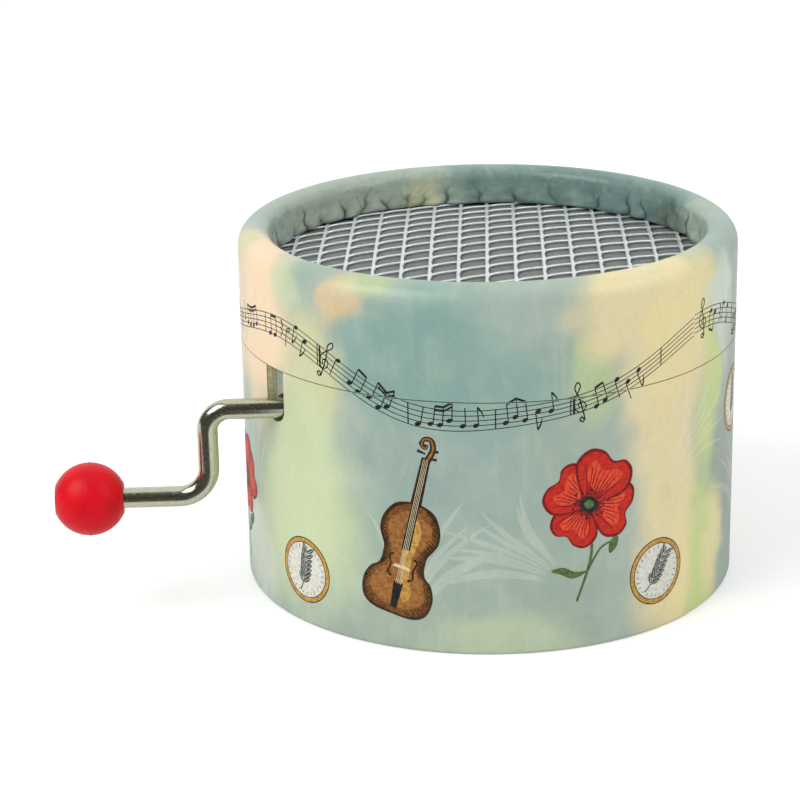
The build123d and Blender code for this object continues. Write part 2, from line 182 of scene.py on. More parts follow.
def stained(tree, paint, tint, pattern, low, high, strength=1.0):
    """A paint with a tint laid over it where a pattern is strong."""
    return mixed(tree, ramped(tree, pattern, low, high, 0.0, strength), paint, tint)


def product(tree, first, second):
    """Two values multiplied."""
    node = put(tree, "Math", operation="MULTIPLY")
    feed(tree, node.inputs[0], first)
    feed(tree, node.inputs[1], second)
    return node.outputs[0]


def length_of(tree, vector):
    """The length of a vector."""
    node = put(tree, "VectorMath", operation="LENGTH")
    tree.links.new(vector, node.inputs[0])
    return node.outputs["Value"]


print("colours and values can be mixed")

# %% Patterns, bumps and a new finish
def grain(tree, size, stretch=(1, 1, 1), detail=3.0, distortion=0.0):
    """Noise with blobs about as large as size, in metres, drawn out along each axis."""
    place = put(tree, "TexCoord")
    fit = put(tree, "Mapping")
    fit.inputs["Scale"].default_value = [1 / (size * s) for s in stretch]
    noise = put(tree, "TexNoise")
    noise.inputs["Scale"].default_value = 1.0
    noise.inputs["Detail"].default_value = detail
    noise.inputs["Distortion"].default_value = distortion
    tree.links.new(place.outputs["Object"], fit.inputs["Vector"])
    tree.links.new(fit.outputs["Vector"], noise.inputs["Vector"])
    return noise.outputs["Fac"]


def bumped(tree, height, depth, below=None):
    """The normal of a height pattern of a real depth in metres, over another normal."""
    node = put(tree, "Bump")
    node.inputs["Distance"].default_value = depth
    tree.links.new(height, node.inputs["Height"])
    if below:
        tree.links.new(below, node.inputs["Normal"])
    return node.outputs["Normal"]


def raised(tree, shader, height, depth):
    """Give a shader the bump of one height pattern."""
    tree.links.new(bumped(tree, height, depth), shader.inputs["Normal"])


def new_finish(name, roughness, metallic=0.0):
    """An empty material with its node tree and shader."""
    material = bpy.data.materials.new(name)
    material.use_nodes = True
    tree = material.node_tree
    shader = tree.nodes["Principled BSDF"]
    shader.inputs["Roughness"].default_value = roughness
    shader.inputs["Metallic"].default_value = metallic
    return material, tree, shader


print("finishes can be started")

# %% [markdown]
# ## Helpers for meshes
#
# Most pieces here are rows of points: a section that is carried round an axis or along a
# line. One helper joins such rows with four-sided faces, and one closes a tube at both
# ends. Another one gives a piece its material and the body that it moves with. An edge
# stays sharp where its faces meet at more than a given angle.

# %% Helpers for meshes
sharp_from = 40


def rows_of_faces(rows, columns, close_rows=False, close_columns=False):
    """Four-sided faces between the points of a grid, row by row."""
    last_row = rows if close_rows else rows - 1
    last_column = columns if close_columns else columns - 1
    faces = []
    for row in range(last_row):
        for column in range(last_column):
            here = row * columns + column
            beside = row * columns + (column + 1) % columns
            above = ((row + 1) % rows) * columns + column
            across = ((row + 1) % rows) * columns + (column + 1) % columns
            faces.append((here, beside, across, above))
    return faces


def tube_faces(rings, sides):
    """Faces of a tube made of rings of points, with a lid on both ends."""
    last = (rings - 1) * sides
    lids = [tuple(range(sides)), tuple(range(last, last + sides))]
    return rows_of_faces(rings, sides, False, True) + lids


def new_piece(name, points, faces, sharp_angle=sharp_from):
    """A smooth-shaded mesh object whose normals point outwards."""
    mesh = bpy.data.meshes.new(name)
    mesh.from_pydata(points, [], faces)
    tidy = bmesh.new()
    tidy.from_mesh(mesh)
    bmesh.ops.recalc_face_normals(tidy, faces=tidy.faces)
    tidy.to_mesh(mesh)
    tidy.free()
    mesh.shade_smooth()
    mesh.set_sharp_from_angle(angle=math.radians(sharp_angle))
    piece = bpy.data.objects.new(name, mesh)
    bpy.context.scene.collection.objects.link(piece)
    return piece


print("edges stay sharp from", sharp_from, "degrees")

# %% Dressing, repainting and stored values
weld_gap = 0.001 * MM


def dress(piece, material, body, slot, *stands_for):
    """Give a piece its material and body, and hide what it stands for. The slot is not used."""
    piece.data.materials.append(material)
    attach(piece, body)
    if stands_for:
        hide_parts(*stands_for)


def repaint(node, material, edge=0.0):
    """A new material on a finished piece, and softened edges where a width is given."""
    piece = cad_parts[node]
    piece.data.materials.clear()
    piece.data.materials.append(material)
    if edge:
        weld = piece.modifiers.new("weld", "WELD")
        weld.merge_threshold = weld_gap
        bevel = piece.modifiers.new("soft_edges", "BEVEL")
        bevel.width = edge
        bevel.segments = 2
        bevel.limit_method = "ANGLE"
        bevel.angle_limit = math.radians(sharp_from)
        bevel.harden_normals = True


def keep_values(piece, name, values):
    """Store one number for each point, which a material can read by its name."""
    layer = piece.data.attributes.new(name, "FLOAT", "POINT")
    layer.data.foreach_set("value", values)


def smoothstep(value, low, high):
    """0 below low, 1 above high and an even change between."""
    share = min(1.0, max(0.0, (value - low) / (high - low)))
    return share * share * (3 - 2 * share)


print("mesh helpers ready")

# %% [markdown]
# ## The watercolour wash of the paper
#
# The printed paper has soft pools of aqua, cream, peach and spring green that run into each
# other like watercolour. A picture could hold them, but a picture would be fixed in size.
# Here every pool is a soft egg-shaped region on the drum, and noise bends all their borders
# in the same way, as wet paint would.
#
# A pool is written as: its tint, how far it lies to the right of the front in degrees, its
# height, its half width, its half height and its strength. The front is the side that the
# camera faces. Lengths are in millimetres.

# %% Tints
tints = {
    "aqua": "84a79f",
    "sea": "97ada5",
    "pale_aqua": "9bb0a4",
    "teal": "6c8985",
    # deep is also used as painted shade low on the inner wall, next to the mesh
    "deep": "465850",
    "mist": "aab8ad",
    "frost": "d2ddcc",
    "sage": "9fb09f",
    "spring": "cad7a9",
    "leaf": "cdda87",
    "straw": "d1cf9c",
    "lemon": "f0dfa2",
    "cream": "e9d9a6",
    "peach": "f6d7b0",
    "apricot": "dcbf93",
    "rose": "cf9a8d",
    "dusk": "8f9c90",
    "olive": "a6b2a2",
}
print(len(tints), "tints")

# %% Pools of the outer face
front_angle = camera_azimuth - math.pi / 2
wall_pools = [
    ("aqua", -9, 40, 20, 13, 0.95),
    ("sea", -10, 25, 17, 10, 0.8),
    ("pale_aqua", -16, 12, 16, 9, 0.7),
    ("mist", 10, 47, 8, 6, 0.7),
    ("sage", -16, 3, 20, 6, 0.7),
    ("spring", 5, 1, 14, 4.5, 0.5),
    ("peach", -62, 41, 9.5, 15, 1.0),
    ("frost", -67, 6, 10, 10, 0.9),
    ("straw", -42, 36, 7.5, 12, 0.9),
    ("apricot", -33, 47.5, 3.6, 4.5, 0.9),
    ("spring", -46, 18, 13, 19, 1.0),
    ("mist", -31, 30, 3.5, 7, 0.5),
    ("mist", 33, 18, 6, 17, 0.8),
    ("leaf", 24, 38, 4.5, 8, 0.5),
    ("cream", 44, 22, 7.8, 32, 1.0),
    ("cream", 39, 36, 6, 12, 0.9),
    ("cream", 28, 47, 7.5, 7.5, 0.95),
    ("cream", 38, 49, 9, 9, 1.0),
    ("lemon", 48, 48, 6, 8, 0.7),
    ("peach", -71, 50, 8, 4.5, 0.7),
    ("peach", -82, 40, 8, 13, 0.9),
    ("straw", -80, 50, 6, 4.5, 0.85),
    ("leaf", -27, 50.5, 4.5, 3, 0.45),
    ("spring", -50, 48.5, 4, 4, 0.6),
    ("lemon", 45, 41, 6, 14, 0.9),
    ("cream", 47, 22, 6, 15, 0.9),
    ("lemon", 48, 7, 5, 11, 0.9),
    ("dusk", 66, 18, 4.5, 11, 0.85),
    ("frost", 68, 40, 4, 10, 0.8),
    ("leaf", 57, 8, 5, 14, 0.95),
    ("lemon", 56, 42, 5, 13, 0.9),
    ("leaf", 60, 30, 3.6, 12, 0.85),
    ("sea", 76, 50, 9, 4.5, 0.8),
    ("dusk", 76, 22, 6, 30, 0.85),
    ("rose", 84, 40, 3.5, 10, 0.6),
    ("lemon", 62, 9, 4.5, 9, 0.8),
    ("frost", 64, 45, 3.5, 5, 0.8),
]
print(len(wall_pools), "pools on the outer face")

# %% [markdown]
# The side that the camera doesn't see carries on in the same way. Its pools are drawn from
# the same tints, spaced evenly, with heights and sizes from a seeded random row, so that
# they come out the same each time.

# %% Pools of the far side and of the rim
shuffle = random.Random(7)
far_tints = "peach spring aqua cream mist lemon aqua leaf peach dusk spring".split()
far_start = 104
far_gap = 16.5
for number, tint in enumerate(far_tints):
    height = shuffle.uniform(8, 42)
    half_width = shuffle.uniform(8, 13)
    half_height = shuffle.uniform(12, 24)
    wall_pools.append((tint, far_start + number * far_gap, height, half_width, half_height, 0.85))

rim_pools = [
    ("olive", -129, 46, 34, 7, 0.85),
    ("straw", -159, 47.5, 3.0, 4.5, 0.6),
    ("teal", -194, 48, 22, 9, 0.95),
    ("teal", -226, 47, 18, 9, 1.0),
    # painted shade: dark teal low on the inner wall, next to the mesh
    ("deep", -241, 46.3, 5.5, 3, 0.7),
    ("sage", -262, 48, 8, 6, 0.6),
    ("peach", -66, 50, 7, 4.5, 0.9),
    ("pale_aqua", -90, 50, 8, 4, 0.8),
    ("aqua", 74, 50, 8, 5, 0.7),
    ("cream", 37, 50.5, 8, 4, 0.75),
]
print(len(wall_pools), "pools on the wall and", len(rim_pools), "on the rim")

# %% [markdown]
# All pools go into one node group, so that the paper and the veils printed over it share
# the same wash. Each pool takes four nodes: one moves and scales the position into the
# pool's own space, one measures the distance from its middle, one turns that into a soft
# edge, and the last one lays its tint over what is there. Before that, a wide noise and a
# small one each push the position about, which bends all the borders.

# %% One node group for the wash
def wash_group():
    """The paper's wash as a colour, from the place on the drum."""
    group = bpy.data.node_groups.new("paper_wash", "ShaderNodeTree")
    group.interface.new_socket("Wash", in_out="OUTPUT", socket_type="NodeSocketColor")
    place = put(group, "TexCoord").outputs["Object"]
    for size, reach in ((14 * MM, 9 * MM), (3.5 * MM, 2.2 * MM)):
        noise = put(group, "TexNoise")
        noise.inputs["Scale"].default_value = 1 / size
        noise.inputs["Detail"].default_value = 2.0
        group.links.new(place, noise.inputs["Vector"])
        centred = put(group, "VectorMath", operation="SUBTRACT")
        group.links.new(noise.outputs["Color"], centred.inputs[0])
        centred.inputs[1].default_value = (0.5, 0.5, 0.5)
        shift = put(group, "VectorMath", operation="MULTIPLY_ADD")
        group.links.new(centred.outputs[0], shift.inputs[0])
        shift.inputs[1].default_value = (reach, reach, reach)
        group.links.new(place, shift.inputs[2])
        place = shift.outputs[0]
    wash = colour(tints["sage"])
    wash = mixed(group, 0.5, wash, colour(tints["pale_aqua"]))
    # how far from the axis the middles of the pools lie, and how deep each pool reaches
    wall = (wall_pools, drum_radius, 9 * MM)
    rim = (rim_pools, rim_bore, 3.4 * MM)
    for pools, radius, depth in (wall, rim):
        for tint, degrees, height, half_width, half_height, strength in pools:
            angle = front_angle + math.radians(degrees)
            fit = put(group, "Mapping", vector_type="TEXTURE")
            fit.inputs["Location"].default_value = (
                radius * math.cos(angle),
                radius * math.sin(angle),
                height * MM,
            )
            fit.inputs["Rotation"].default_value = (0, 0, angle)
            fit.inputs["Scale"].default_value = (depth, half_width * MM, half_height * MM)
            group.links.new(place, fit.inputs["Vector"])
            distance = length_of(group, fit.outputs["Vector"])
            wash = stained(group, wash, colour(tints[tint]), distance, 1.15, 0.45, strength)
    result = group.nodes.new("NodeGroupOutput")
    group.links.new(wash, result.inputs[0])
    return group


paper_wash = wash_group()
print(len(paper_wash.nodes), "nodes in the wash")

# %% [markdown]
# ## The printed paper as a material
#
# The paper is coated, so it has a satin shine, and a very fine grain shows where light
# grazes it. Where it is gathered inside the mouth, shade is painted into its creases and
# along its foot at the mesh. An attribute stores how much painted shade each point gets,
# and the material darkens there. A second attribute tells where the paper is worn, so that
# only the mouth is mottled.

# %% Printed paper
def paper_finish(name, veil=0.0):
    """Satin paper with the wash. A veil lightens it, as a pale glaze would."""
    material, tree, shader = new_finish(name, 0.34)
    wash = put(tree, "Group", node_tree=paper_wash).outputs["Wash"]
    cloudy = grain(tree, 5 * MM, detail=4.0)
    streaks = grain(tree, 1.6 * MM, stretch=(1, 1, 7), detail=4.0)
    fibres = grain(tree, 0.35 * MM, stretch=(1, 1, 2.5), detail=2.0)
    rubbed = grain(tree, 2.4 * MM, stretch=(1, 1, 0.6), detail=4.0, distortion=0.3)
    blooms = grain(tree, 2.6 * MM, stretch=(1, 1, 1.6), detail=3.0, distortion=1.2)
    paint = wash
    for tint, pattern, low, high, strength in (
        ("dfe6d2", cloudy, 0.35, 0.75, 0.13),
        ("d3d9a2", blooms, 0.48, 0.78, 0.13),
        ("8ea6a4", blooms, 0.44, 0.26, 0.1),
        ("f4efd6", streaks, 0.5, 0.8, 0.08),
        ("7d8a83", fibres, 0.35, 0.75, 0.07),
    ):
        paint = stained(tree, paint, colour(tint), pattern, low, high, strength)
    if veil:
        paint = mixed(tree, veil, paint, colour("f0f2dc"))
    worn = put(tree, "Attribute", attribute_name="worn").outputs["Fac"]
    painted_shade = put(tree, "Attribute", attribute_name="painted_shade").outputs["Fac"]
    dirt = product(tree, worn, ramped(tree, rubbed, 0.42, 0.72, 0.0, 0.24))
    paint = mixed(tree, dirt, paint, colour("4c5c57"))
    # painted shade: the creases and the foot of the inner wall darken
    paint = mixed(tree, painted_shade, paint, colour("1d2826"))
    tree.links.new(paint, shader.inputs["Base Color"])
    tree.links.new(ramped(tree, cloudy, 0.3, 0.7, 0.3, 0.38), shader.inputs["Roughness"])
    shader.inputs["Specular IOR Level"].default_value = 0.5
    wrinkles = bumped(tree, product(tree, worn, rubbed), 0.22 * MM)
    tree.links.new(bumped(tree, fibres, 0.012 * MM, wrinkles), shader.inputs["Normal"])
    return material


printed_paper = paper_finish("printed_paper")
pale_veil = paper_finish("pale_veil", veil=0.17)
print("paper ready")

# %% [markdown]
# ## Where the paper ends over itself
#
# The paper goes once round the drum and its end is glued over its start. That leaves one
# upright edge, well right of the front. The face therefore runs as a very slow spiral: it
# gains the paper's thickness in one turn and drops back at the edge. Everything printed on
# the paper is laid on the same spiral. Its columns of points stop a hair short of the full
# turn, and the faces between the last column and the first one are the edge.

# %% The spiral of the paper's face
overlap_degrees = 51.5
paper_inset = 0.06 * MM
paper_step = 0.1 * MM


def paper_radius(degrees):
    """Radius of the paper's face, for an angle from the overlap's start up to its end."""
    share = (degrees - overlap_degrees + 360) / 360
    return drum_radius - paper_inset - paper_step * (1 - share)


def on_drum(degrees, radius, height):
    """Point on the drum, by its angle right of the front."""
    angle = front_angle + math.radians(degrees)
    return (radius * math.cos(angle), radius * math.sin(angle), height)


column_count = 720
turn_covered = 359.96
columns = []
for number in range(column_count):
    turned = turn_covered * number / (column_count - 1)
    columns.append(overlap_degrees - 360 + turned)
print("overlap at", overlap_degrees, "degrees, step", paper_step / MM, "mm")

# %% [markdown]
# ## The gathered paper inside the mouth
#
# The paper is pulled over the thick rim and glued down inside it. A flat sheet doesn't fit
# the inside of a ring, so it gathers: it bulges a little between sharp creases that run
# down to the mesh, and its cut edge is uneven. The creases are spaced and slanted by a
# seeded random row, and some of them have a short branch. Each point asks how far it is
# from the nearest crease on either side. Shade is painted along the creases and their
# branches, and in a soft band beside each one.

# %% Creases of the turned-in paper
fold_random = random.Random(21)
creases = []
branches = []
angle = 0.0
while angle < 350:
    slant = fold_random.uniform(-3.5, 3.5)
    reach = fold_random.choice((1.6, 2.4, 3.2, 4.2, 5.0)) * MM
    creases.append(
        {
            "angle": angle,
            "reach": reach,
            "slant": slant,
            "depth": fold_random.uniform(0.55, 1.0),
            "bulge": fold_random.uniform(0.18, 0.6) * MM,
        }
    )
    if fold_random.random() < 0.45:
        lean = fold_random.choice((-1, 1)) * fold_random.uniform(1.2, 3.6)
        branches.append((angle, lean, fold_random.uniform(0.6, 1.6) * MM, reach * 0.8))
    angle += fold_random.uniform(4.5, 13.0)
print(len(creases), "creases and", len(branches), "branches")

# %% How the paper lies at a point of the mouth
line_width = 0.1 * MM
line_growth = 0.2 * MM
crease_shadow_width = 0.9 * MM
crease_shadow_depth = 0.34
branch_width = 0.15 * MM
branch_reach = 1.2 * MM
crease_sink = 0.12 * MM
ripples = ((0.07 * MM, 23, 5), (0.04 * MM, 51, -9))


def gathered(degrees, height):
    """How far the paper bulges, and the shade painted at its creases, inside the mouth."""
    gather_top = drum_top - rim_inner_round
    down = max(0.0, (gather_top - height) / (gather_top - mesh_top))
    turned = degrees % 360
    places = []
    for crease in creases:
        wobble = 0.5 * math.sin(9 * down + crease["angle"])
        places.append(crease["angle"] + crease["slant"] * (1 - down) + wobble)
    later = next((i for i, place in enumerate(places) if place > turned), 0)
    before = (later - 1) % len(creases)
    width = (places[later] - places[before]) % 360
    share = ((turned - places[before]) % 360) / width
    bulge = creases[before]["bulge"] * (1 - abs(2 * share - 1) ** 2.5) * down**1.2
    painted_shade = 0.0
    for index, offset in ((before, share * width), (later, (1 - share) * width)):
        crease = creases[index]
        away = math.radians(offset) * rim_bore
        reach = smoothstep(height, mesh_top + crease["reach"], mesh_top + 0.3 * crease["reach"])
        line = math.exp(-((away / (line_width + line_growth * reach)) ** 2))
        # a painted shadow beside each crease, deeper towards the mesh
        crease_shadow = crease_shadow_depth * down**2 * math.exp(-((away / crease_shadow_width) ** 2))
        painted_shade = max(painted_shade, crease["depth"] * max(reach * line, crease_shadow))
    for start, lean, foot, tip in branches:
        climb = (height - mesh_top - foot) / (tip + branch_reach - foot)
        away = math.radians((turned - start - lean * climb + 180) % 360 - 180) * rim_bore
        if 0 < climb < 1 and abs(away) < 5 * branch_width:
            painted_shade = max(painted_shade, 0.5 * (1 - climb) * math.exp(-((away / branch_width) ** 2)))
    for size, waves, drift in ripples:
        bulge += size * math.sin(math.radians(turned * waves) + drift * down) * down
    return bulge - crease_sink * painted_shade, painted_shade


print("gathers spread from", round((drum_top - rim_inner_round) / MM, 1), "down to the mesh")

# %% [markdown]
# ## The upper paper
#
# Its section starts at the seam, climbs the outside, goes over the crest in two arcs and
# comes down inside to the mesh. Every point knows the direction that faces out of the
# paper, so it can be moved in and out for the spiral and for the gathers. A second skin
# behind the first gives the sheet its thickness.

# %% Section of the upper paper
outer_steps = 14
inner_steps = 10
drop_steps = 22


def upper_section():
    """Points of the half section with the direction that faces out, and each one's zone."""
    crest_out = drum_top - rim_outer_round
    crest_in = drum_top - rim_inner_round
    section = []
    for share in (0, 0.004, 0.33, 0.66, 1):
        height = lid_floor + (crest_out - lid_floor) * share
        section.append((drum_radius, height, 1.0, 0.0, "wall"))
    for number in range(1, outer_steps + 1):
        turn = math.pi / 2 * number / outer_steps
        out, up = math.cos(turn), math.sin(turn)
        point = (crest_radius + rim_outer_round * out, crest_out + rim_outer_round * up)
        section.append((*point, out, up, "crest"))
    for number in range(1, inner_steps + 1):
        turn = math.pi / 2 * (1 + number / inner_steps)
        out, up = math.cos(turn), math.sin(turn)
        point = (crest_radius + rim_inner_round * out, crest_in + rim_inner_round * up)
        section.append((*point, out, up, "inside"))
    for number in range(1, drop_steps + 1):
        height = crest_in + (mesh_top - crest_in) * number / drop_steps
        section.append((rim_bore, height, -1.0, 0.0, "inside"))
    return section


section = upper_section()
print(len(section), "points in the section")

# %% Upper paper
sheet_thickness = 0.1 * MM
inner_inset = 0.02 * MM


def ragged_edge(degrees):
    """How far above the mesh the cut edge ends."""
    wave = math.sin(math.radians(degrees * 7)) + math.sin(math.radians(degrees * 17 + 40))
    return (0.09 + 0.035 * wave) * MM


points = []
painted_shades = []
worn = []
for depth in (0.0, sheet_thickness):
    for radius, height, out, up, zone in section if depth == 0.0 else reversed(section):
        for degrees in columns:
            inset = inner_inset + depth
            painted_shade = 0.0
            if zone == "wall":
                inset = drum_radius - paper_radius(degrees) + depth
            elif zone == "crest":
                inset += (drum_radius - paper_radius(degrees) - inner_inset) * out**2
            level = height
            if zone == "inside":
                bulge, painted_shade = gathered(degrees, height)
                inset -= bulge
                share = (drum_top - height) / (drum_top - mesh_top)
                level = height + ragged_edge(degrees) * share**6
                # a painted shadow along the foot of the inner wall, where the paper meets the mesh
                shade_height = (0.6 + 0.3 * math.sin(math.radians(11 * degrees))) * MM
                painted_shade = max(painted_shade, 0.55 * smoothstep(height, mesh_top + shade_height, mesh_top))
            points.append(on_drum(degrees, radius - out * inset, level - up * inset))
            painted_shades.append(painted_shade)
            rubbed = smoothstep(radius, rim_bore + 1.3 * MM, rim_bore + 0.2 * MM)
            worn.append(rubbed if zone == "inside" else 0.0)
faces = rows_of_faces(2 * len(section), column_count, True, True)
upper_paper = new_piece("upper_paper", points, faces)
keep_values(upper_paper, "painted_shade", painted_shades)
keep_values(upper_paper, "worn", worn)
dress(upper_paper, printed_paper, "upper_half", "printed_paper", "upper_wrap")
print("upper paper", len(upper_paper.data.polygons), "faces")

# %% [markdown]
# ## The lower paper
#
# It is a plain band with a notch for the crank, and it is turned round the rounded foot of
# the tube. Its inner skin stays clear of the board, so the sheet is thinner here. The notch
# is cut with a boolean, since its outline is a slot with a round end that meets a curved
# wall, and a boolean gives exactly that edge.

# %% Lower paper before the notch
foot_round = 0.8 * MM
foot_centre = 0.6 * MM
foot_tip = math.radians(44)
foot_steps = 6
lower_thickness = 0.03 * MM
lower_section = [(drum_radius, seam_height, 1.0, 0.0)]
for share in (0.996, 0.75, 0.5, 0.25, 0.1, 0):
    height = foot_centre + (seam_height - foot_centre) * share
    lower_section.append((drum_radius, height, 1.0, 0.0))
for number in range(1, foot_steps + 1):
    turn = foot_tip * number / foot_steps
    out, up = math.cos(turn), -math.sin(turn)
    radius = drum_radius - foot_round + foot_round * out
    lower_section.append((radius, foot_centre + foot_round * up, out, up))
lower_columns = columns[:-1:2] + columns[-1:]
points = []
for depth in (0.0, lower_thickness):
    for radius, height, out, up in lower_section if depth == 0.0 else reversed(lower_section):
        for degrees in lower_columns:
            inset = drum_radius - paper_radius(degrees) + depth
            points.append(on_drum(degrees, radius - out * inset, height - up * inset))
faces = rows_of_faces(2 * len(lower_section), len(lower_columns), True, True)
lower_paper = new_piece("lower_paper", points, faces)
print("lower paper", len(lower_paper.data.polygons), "faces")

# %% Cut the notch
notch_half = wire_radius + 0.5 * MM
past_edge = 2 * MM
slot_steps = 24
slot_outline = [(crank_y - notch_half, seam_height + past_edge)]
for number in range(slot_steps + 1):
    turn = math.pi + math.pi * number / slot_steps
    z = crank_height + notch_half * math.sin(turn)
    slot_outline.append((crank_y + notch_half * math.cos(turn), z))
slot_outline.append((crank_y + notch_half, seam_height + past_edge))
slot_ends = (-drum_radius - past_edge, -drum_radius / 2)
slot_points = [(x, y, z) for x in slot_ends for y, z in slot_outline]
slot_cutter = new_piece("slot_cutter", slot_points, tube_faces(2, len(slot_outline)))
cut = lower_paper.modifiers.new("notch", "BOOLEAN")
cut.operation = "DIFFERENCE"
cut.solver = "EXACT"
cut.object = slot_cutter
bpy.context.view_layer.update()
evaluated = bpy.context.evaluated_depsgraph_get()
cut_mesh = bpy.data.meshes.new_from_object(lower_paper.evaluated_get(evaluated))
lower_paper.modifiers.clear()
lower_paper.data = cut_mesh
cut_mesh.shade_smooth()
cut_mesh.set_sharp_from_angle(angle=math.radians(sharp_from))
bpy.data.objects.remove(slot_cutter)
dress(lower_paper, printed_paper, "root", "printed_paper", "lower_wrap")
print("notch cut,", len(cut_mesh.polygons), "faces left")

# %% [markdown]
# ## The mesh in the mouth
#
# The grille is expanded metal: a sheet that was slit and pulled open. Straight strands run
# away from us, and thin cross strands join them on a slant, each leaving its strand a little
# more steeply at first. The straight strands are grooved, for each is really two that stayed
# joined. The sheet is pressed up a little in the middle. The strands are swept rings of
# points, because that keeps their edges soft and bright.

# %% A strand as a swept mesh
strand_spacing = 3.92 * MM
cross_pitch = 4.06 * MM
cross_rise = 2.26 * MM
column_shift = 1.81 * MM
cross_start = -0.28 * MM
mesh_turn = math.radians(-4)
mesh_gap = 0.3 * MM
across = Vector((math.cos(mesh_turn), math.sin(mesh_turn), 0))
along = Vector((-math.sin(mesh_turn), math.cos(mesh_turn), 0))
mesh_reach = backing_high.x - mesh_gap
mesh_crown = 1.15 * MM
groove = [(1.0, 0.2), (0.7, 1.0), (0.22, 0.6)]
grooved_section = groove + [(-s, z) for s, z in reversed(groove)] + [(-0.7, -1.0), (0.7, -1.0)]
rounding = [(1.0, 0.4), (0.4, 1.0)]
round_top = rounding + [(-s, z) for s, z in reversed(rounding)]
round_section = round_top + [(-s, -z) for s, z in round_top]


def crown(x, y):
    """How far the mesh and its board stand up at a point."""
    share = (x * x + y * y) / rim_bore**2
    return mesh_crown * max(0.0, 1 - share)


def sweep_strand(path, section, half_width, half_height, points, faces):
    """Add a strand along a level path of points with width shares, raised to the crown."""
    start = len(points)
    for number, (point, share) in enumerate(path):
        ahead = path[min(number + 1, len(path) - 1)][0] - path[max(number - 1, 0)][0]
        side = Vector((ahead.y, -ahead.x, 0)).normalized()
        base = point + Vector((0, 0, crown(point.x, point.y)))
        for sideways, upwards in section:
            offset = side * (sideways * half_width * share) + Vector((0, 0, upwards * half_height))
            points.append(base + offset)
    size = len(section)
    last = start + (len(path) - 1) * size
    for face in rows_of_faces(len(path), size, False, True):
        faces.append(tuple(start + index for index in face))
    faces.append(tuple(range(start, start + size)))
    faces.append(tuple(reversed(range(last, last + size))))


print("strands stand", round(strand_spacing / MM, 2), "mm apart")

# %% Long strands
strand_half_width = 0.3 * MM
strand_half_height = 0.2 * MM
cross_half_width = 0.17 * MM
cross_half_height = 0.17 * MM
strand_level = mesh_top - strand_half_height - 0.04 * MM
knot_swing = 0.05 * MM
strand_step = 0.5 * MM
points = []
faces = []
line_count = int(mesh_reach / strand_spacing) + 1
for line in range(-line_count, line_count + 1):
    offset = line * strand_spacing
    if abs(offset) >= mesh_reach:
        continue
    half_length = math.sqrt(mesh_reach**2 - offset**2)
    steps = max(4, int(2 * half_length / strand_step))
    path = []
    for step in range(steps + 1):
        forward = -half_length + 2 * half_length * step / steps
        knot = math.cos(2 * math.pi * (forward - cross_start - line * column_shift) / cross_pitch)
        point = across * (offset + knot_swing * knot) + along * forward
        path.append((point + Vector((0, 0, strand_level)), 1 + 0.2 * knot))
    sweep_strand(path, grooved_section, strand_half_width, strand_half_height, points, faces)
print("long strands", len(points), "points")

# %% Cross strands
arch_height = 0.05 * MM
steep_share = 0.24
steep_run = 0.08
cross_steps = 12
row_count = 2 * line_count
for column in range(-line_count, line_count + 1):
    for row in range(-row_count, row_count + 1):
        forward = row * cross_pitch + (column + 0.5) * column_shift + cross_start
        middle = across * ((column + 0.5) * strand_spacing) + along * forward
        if middle.length > mesh_reach + strand_spacing:
            continue
        path = []
        for step in range(cross_steps + 1):
            share = step / cross_steps
            steep = steep_share * (1 - math.exp(-share / steep_run))
            climb = steep + (1 - steep_share) * share
            aside = across * ((share - 0.5) * strand_spacing)
            point = middle + aside + along * ((climb - 0.5) * cross_rise)
            level = strand_level + arch_height * math.sin(math.pi * share)
            if point.length < mesh_reach:
                path.append((point + Vector((0, 0, level)), 1.0 + 0.5 * (1 - share) ** 6))
        if len(path) > 2:
            sweep_strand(path, round_section, cross_half_width, cross_half_height, points, faces)
mesh_strands = new_piece("mesh_strands", points, faces, sharp_angle=70)
print("mesh", len(faces), "faces")

# %% [markdown]
# ## The board under the mesh
#
# A grey board lies right under the mesh and is pressed up with it. It is a turned disc, so
# a section of a few points is enough: flat below, crowned above.

# %% Board under the mesh
board_rings = 24
board_columns = 96
board_radii = [backing_high.x * ring / board_rings for ring in range(1, board_rings + 1)]
flat_rings = [(radius, False) for radius in board_radii]
crowned_rings = [(radius, True) for radius in reversed(board_radii)]
points = [(0, 0, backing_low.z)]
for radius, crowned in flat_rings + crowned_rings:
    for column in range(board_columns):
        angle = 2 * math.pi * column / board_columns
        x, y = radius * math.cos(angle), radius * math.sin(angle)
        points.append((x, y, backing_high.z + crown(x, y) if crowned else backing_low.z))
points.append((0, 0, backing_high.z + mesh_crown))
ring_faces = rows_of_faces(2 * board_rings, board_columns, False, True)
faces = [tuple(i + 1 for i in face) for face in ring_faces]
last = len(points) - 1
for column in range(board_columns):
    beside = (column + 1) % board_columns
    faces.append((0, 1 + column, 1 + beside))
    faces.append((last, last - board_columns + column, last - board_columns + beside))
grille_board = new_piece("grille_board", points, faces)
print("board", len(faces), "faces")

# %% [markdown]
# ## The crank
#
# The crank is one bent wire. Its middle line is two corners with round bends, the one at the
# grip rounder than the other, and a ring of points is carried along it. The bends lie in one
# upright plane, so each ring only needs the direction of the line there.

# %% The middle line of the wire
def bent_line(corners, bends, steps=14):
    """Points and directions along straight runs joined by round bends."""
    line = [(corners[0], (corners[1] - corners[0]).normalized())]
    for before, corner, after, bend in zip(corners, corners[1:], corners[2:], bends):
        arriving = (corner - before).normalized()
        leaving = (after - corner).normalized()
        start = corner - arriving * bend
        centre = start + leaving * bend
        for step in range(steps + 1):
            turn = math.pi / 2 * step / steps
            point = centre - leaving * (bend * math.cos(turn)) + arriving * (bend * math.sin(turn))
            line.append((point, arriving * math.cos(turn) + leaving * math.sin(turn)))
    line.append((corners[-1], (corners[-1] - corners[-2]).normalized()))
    return line


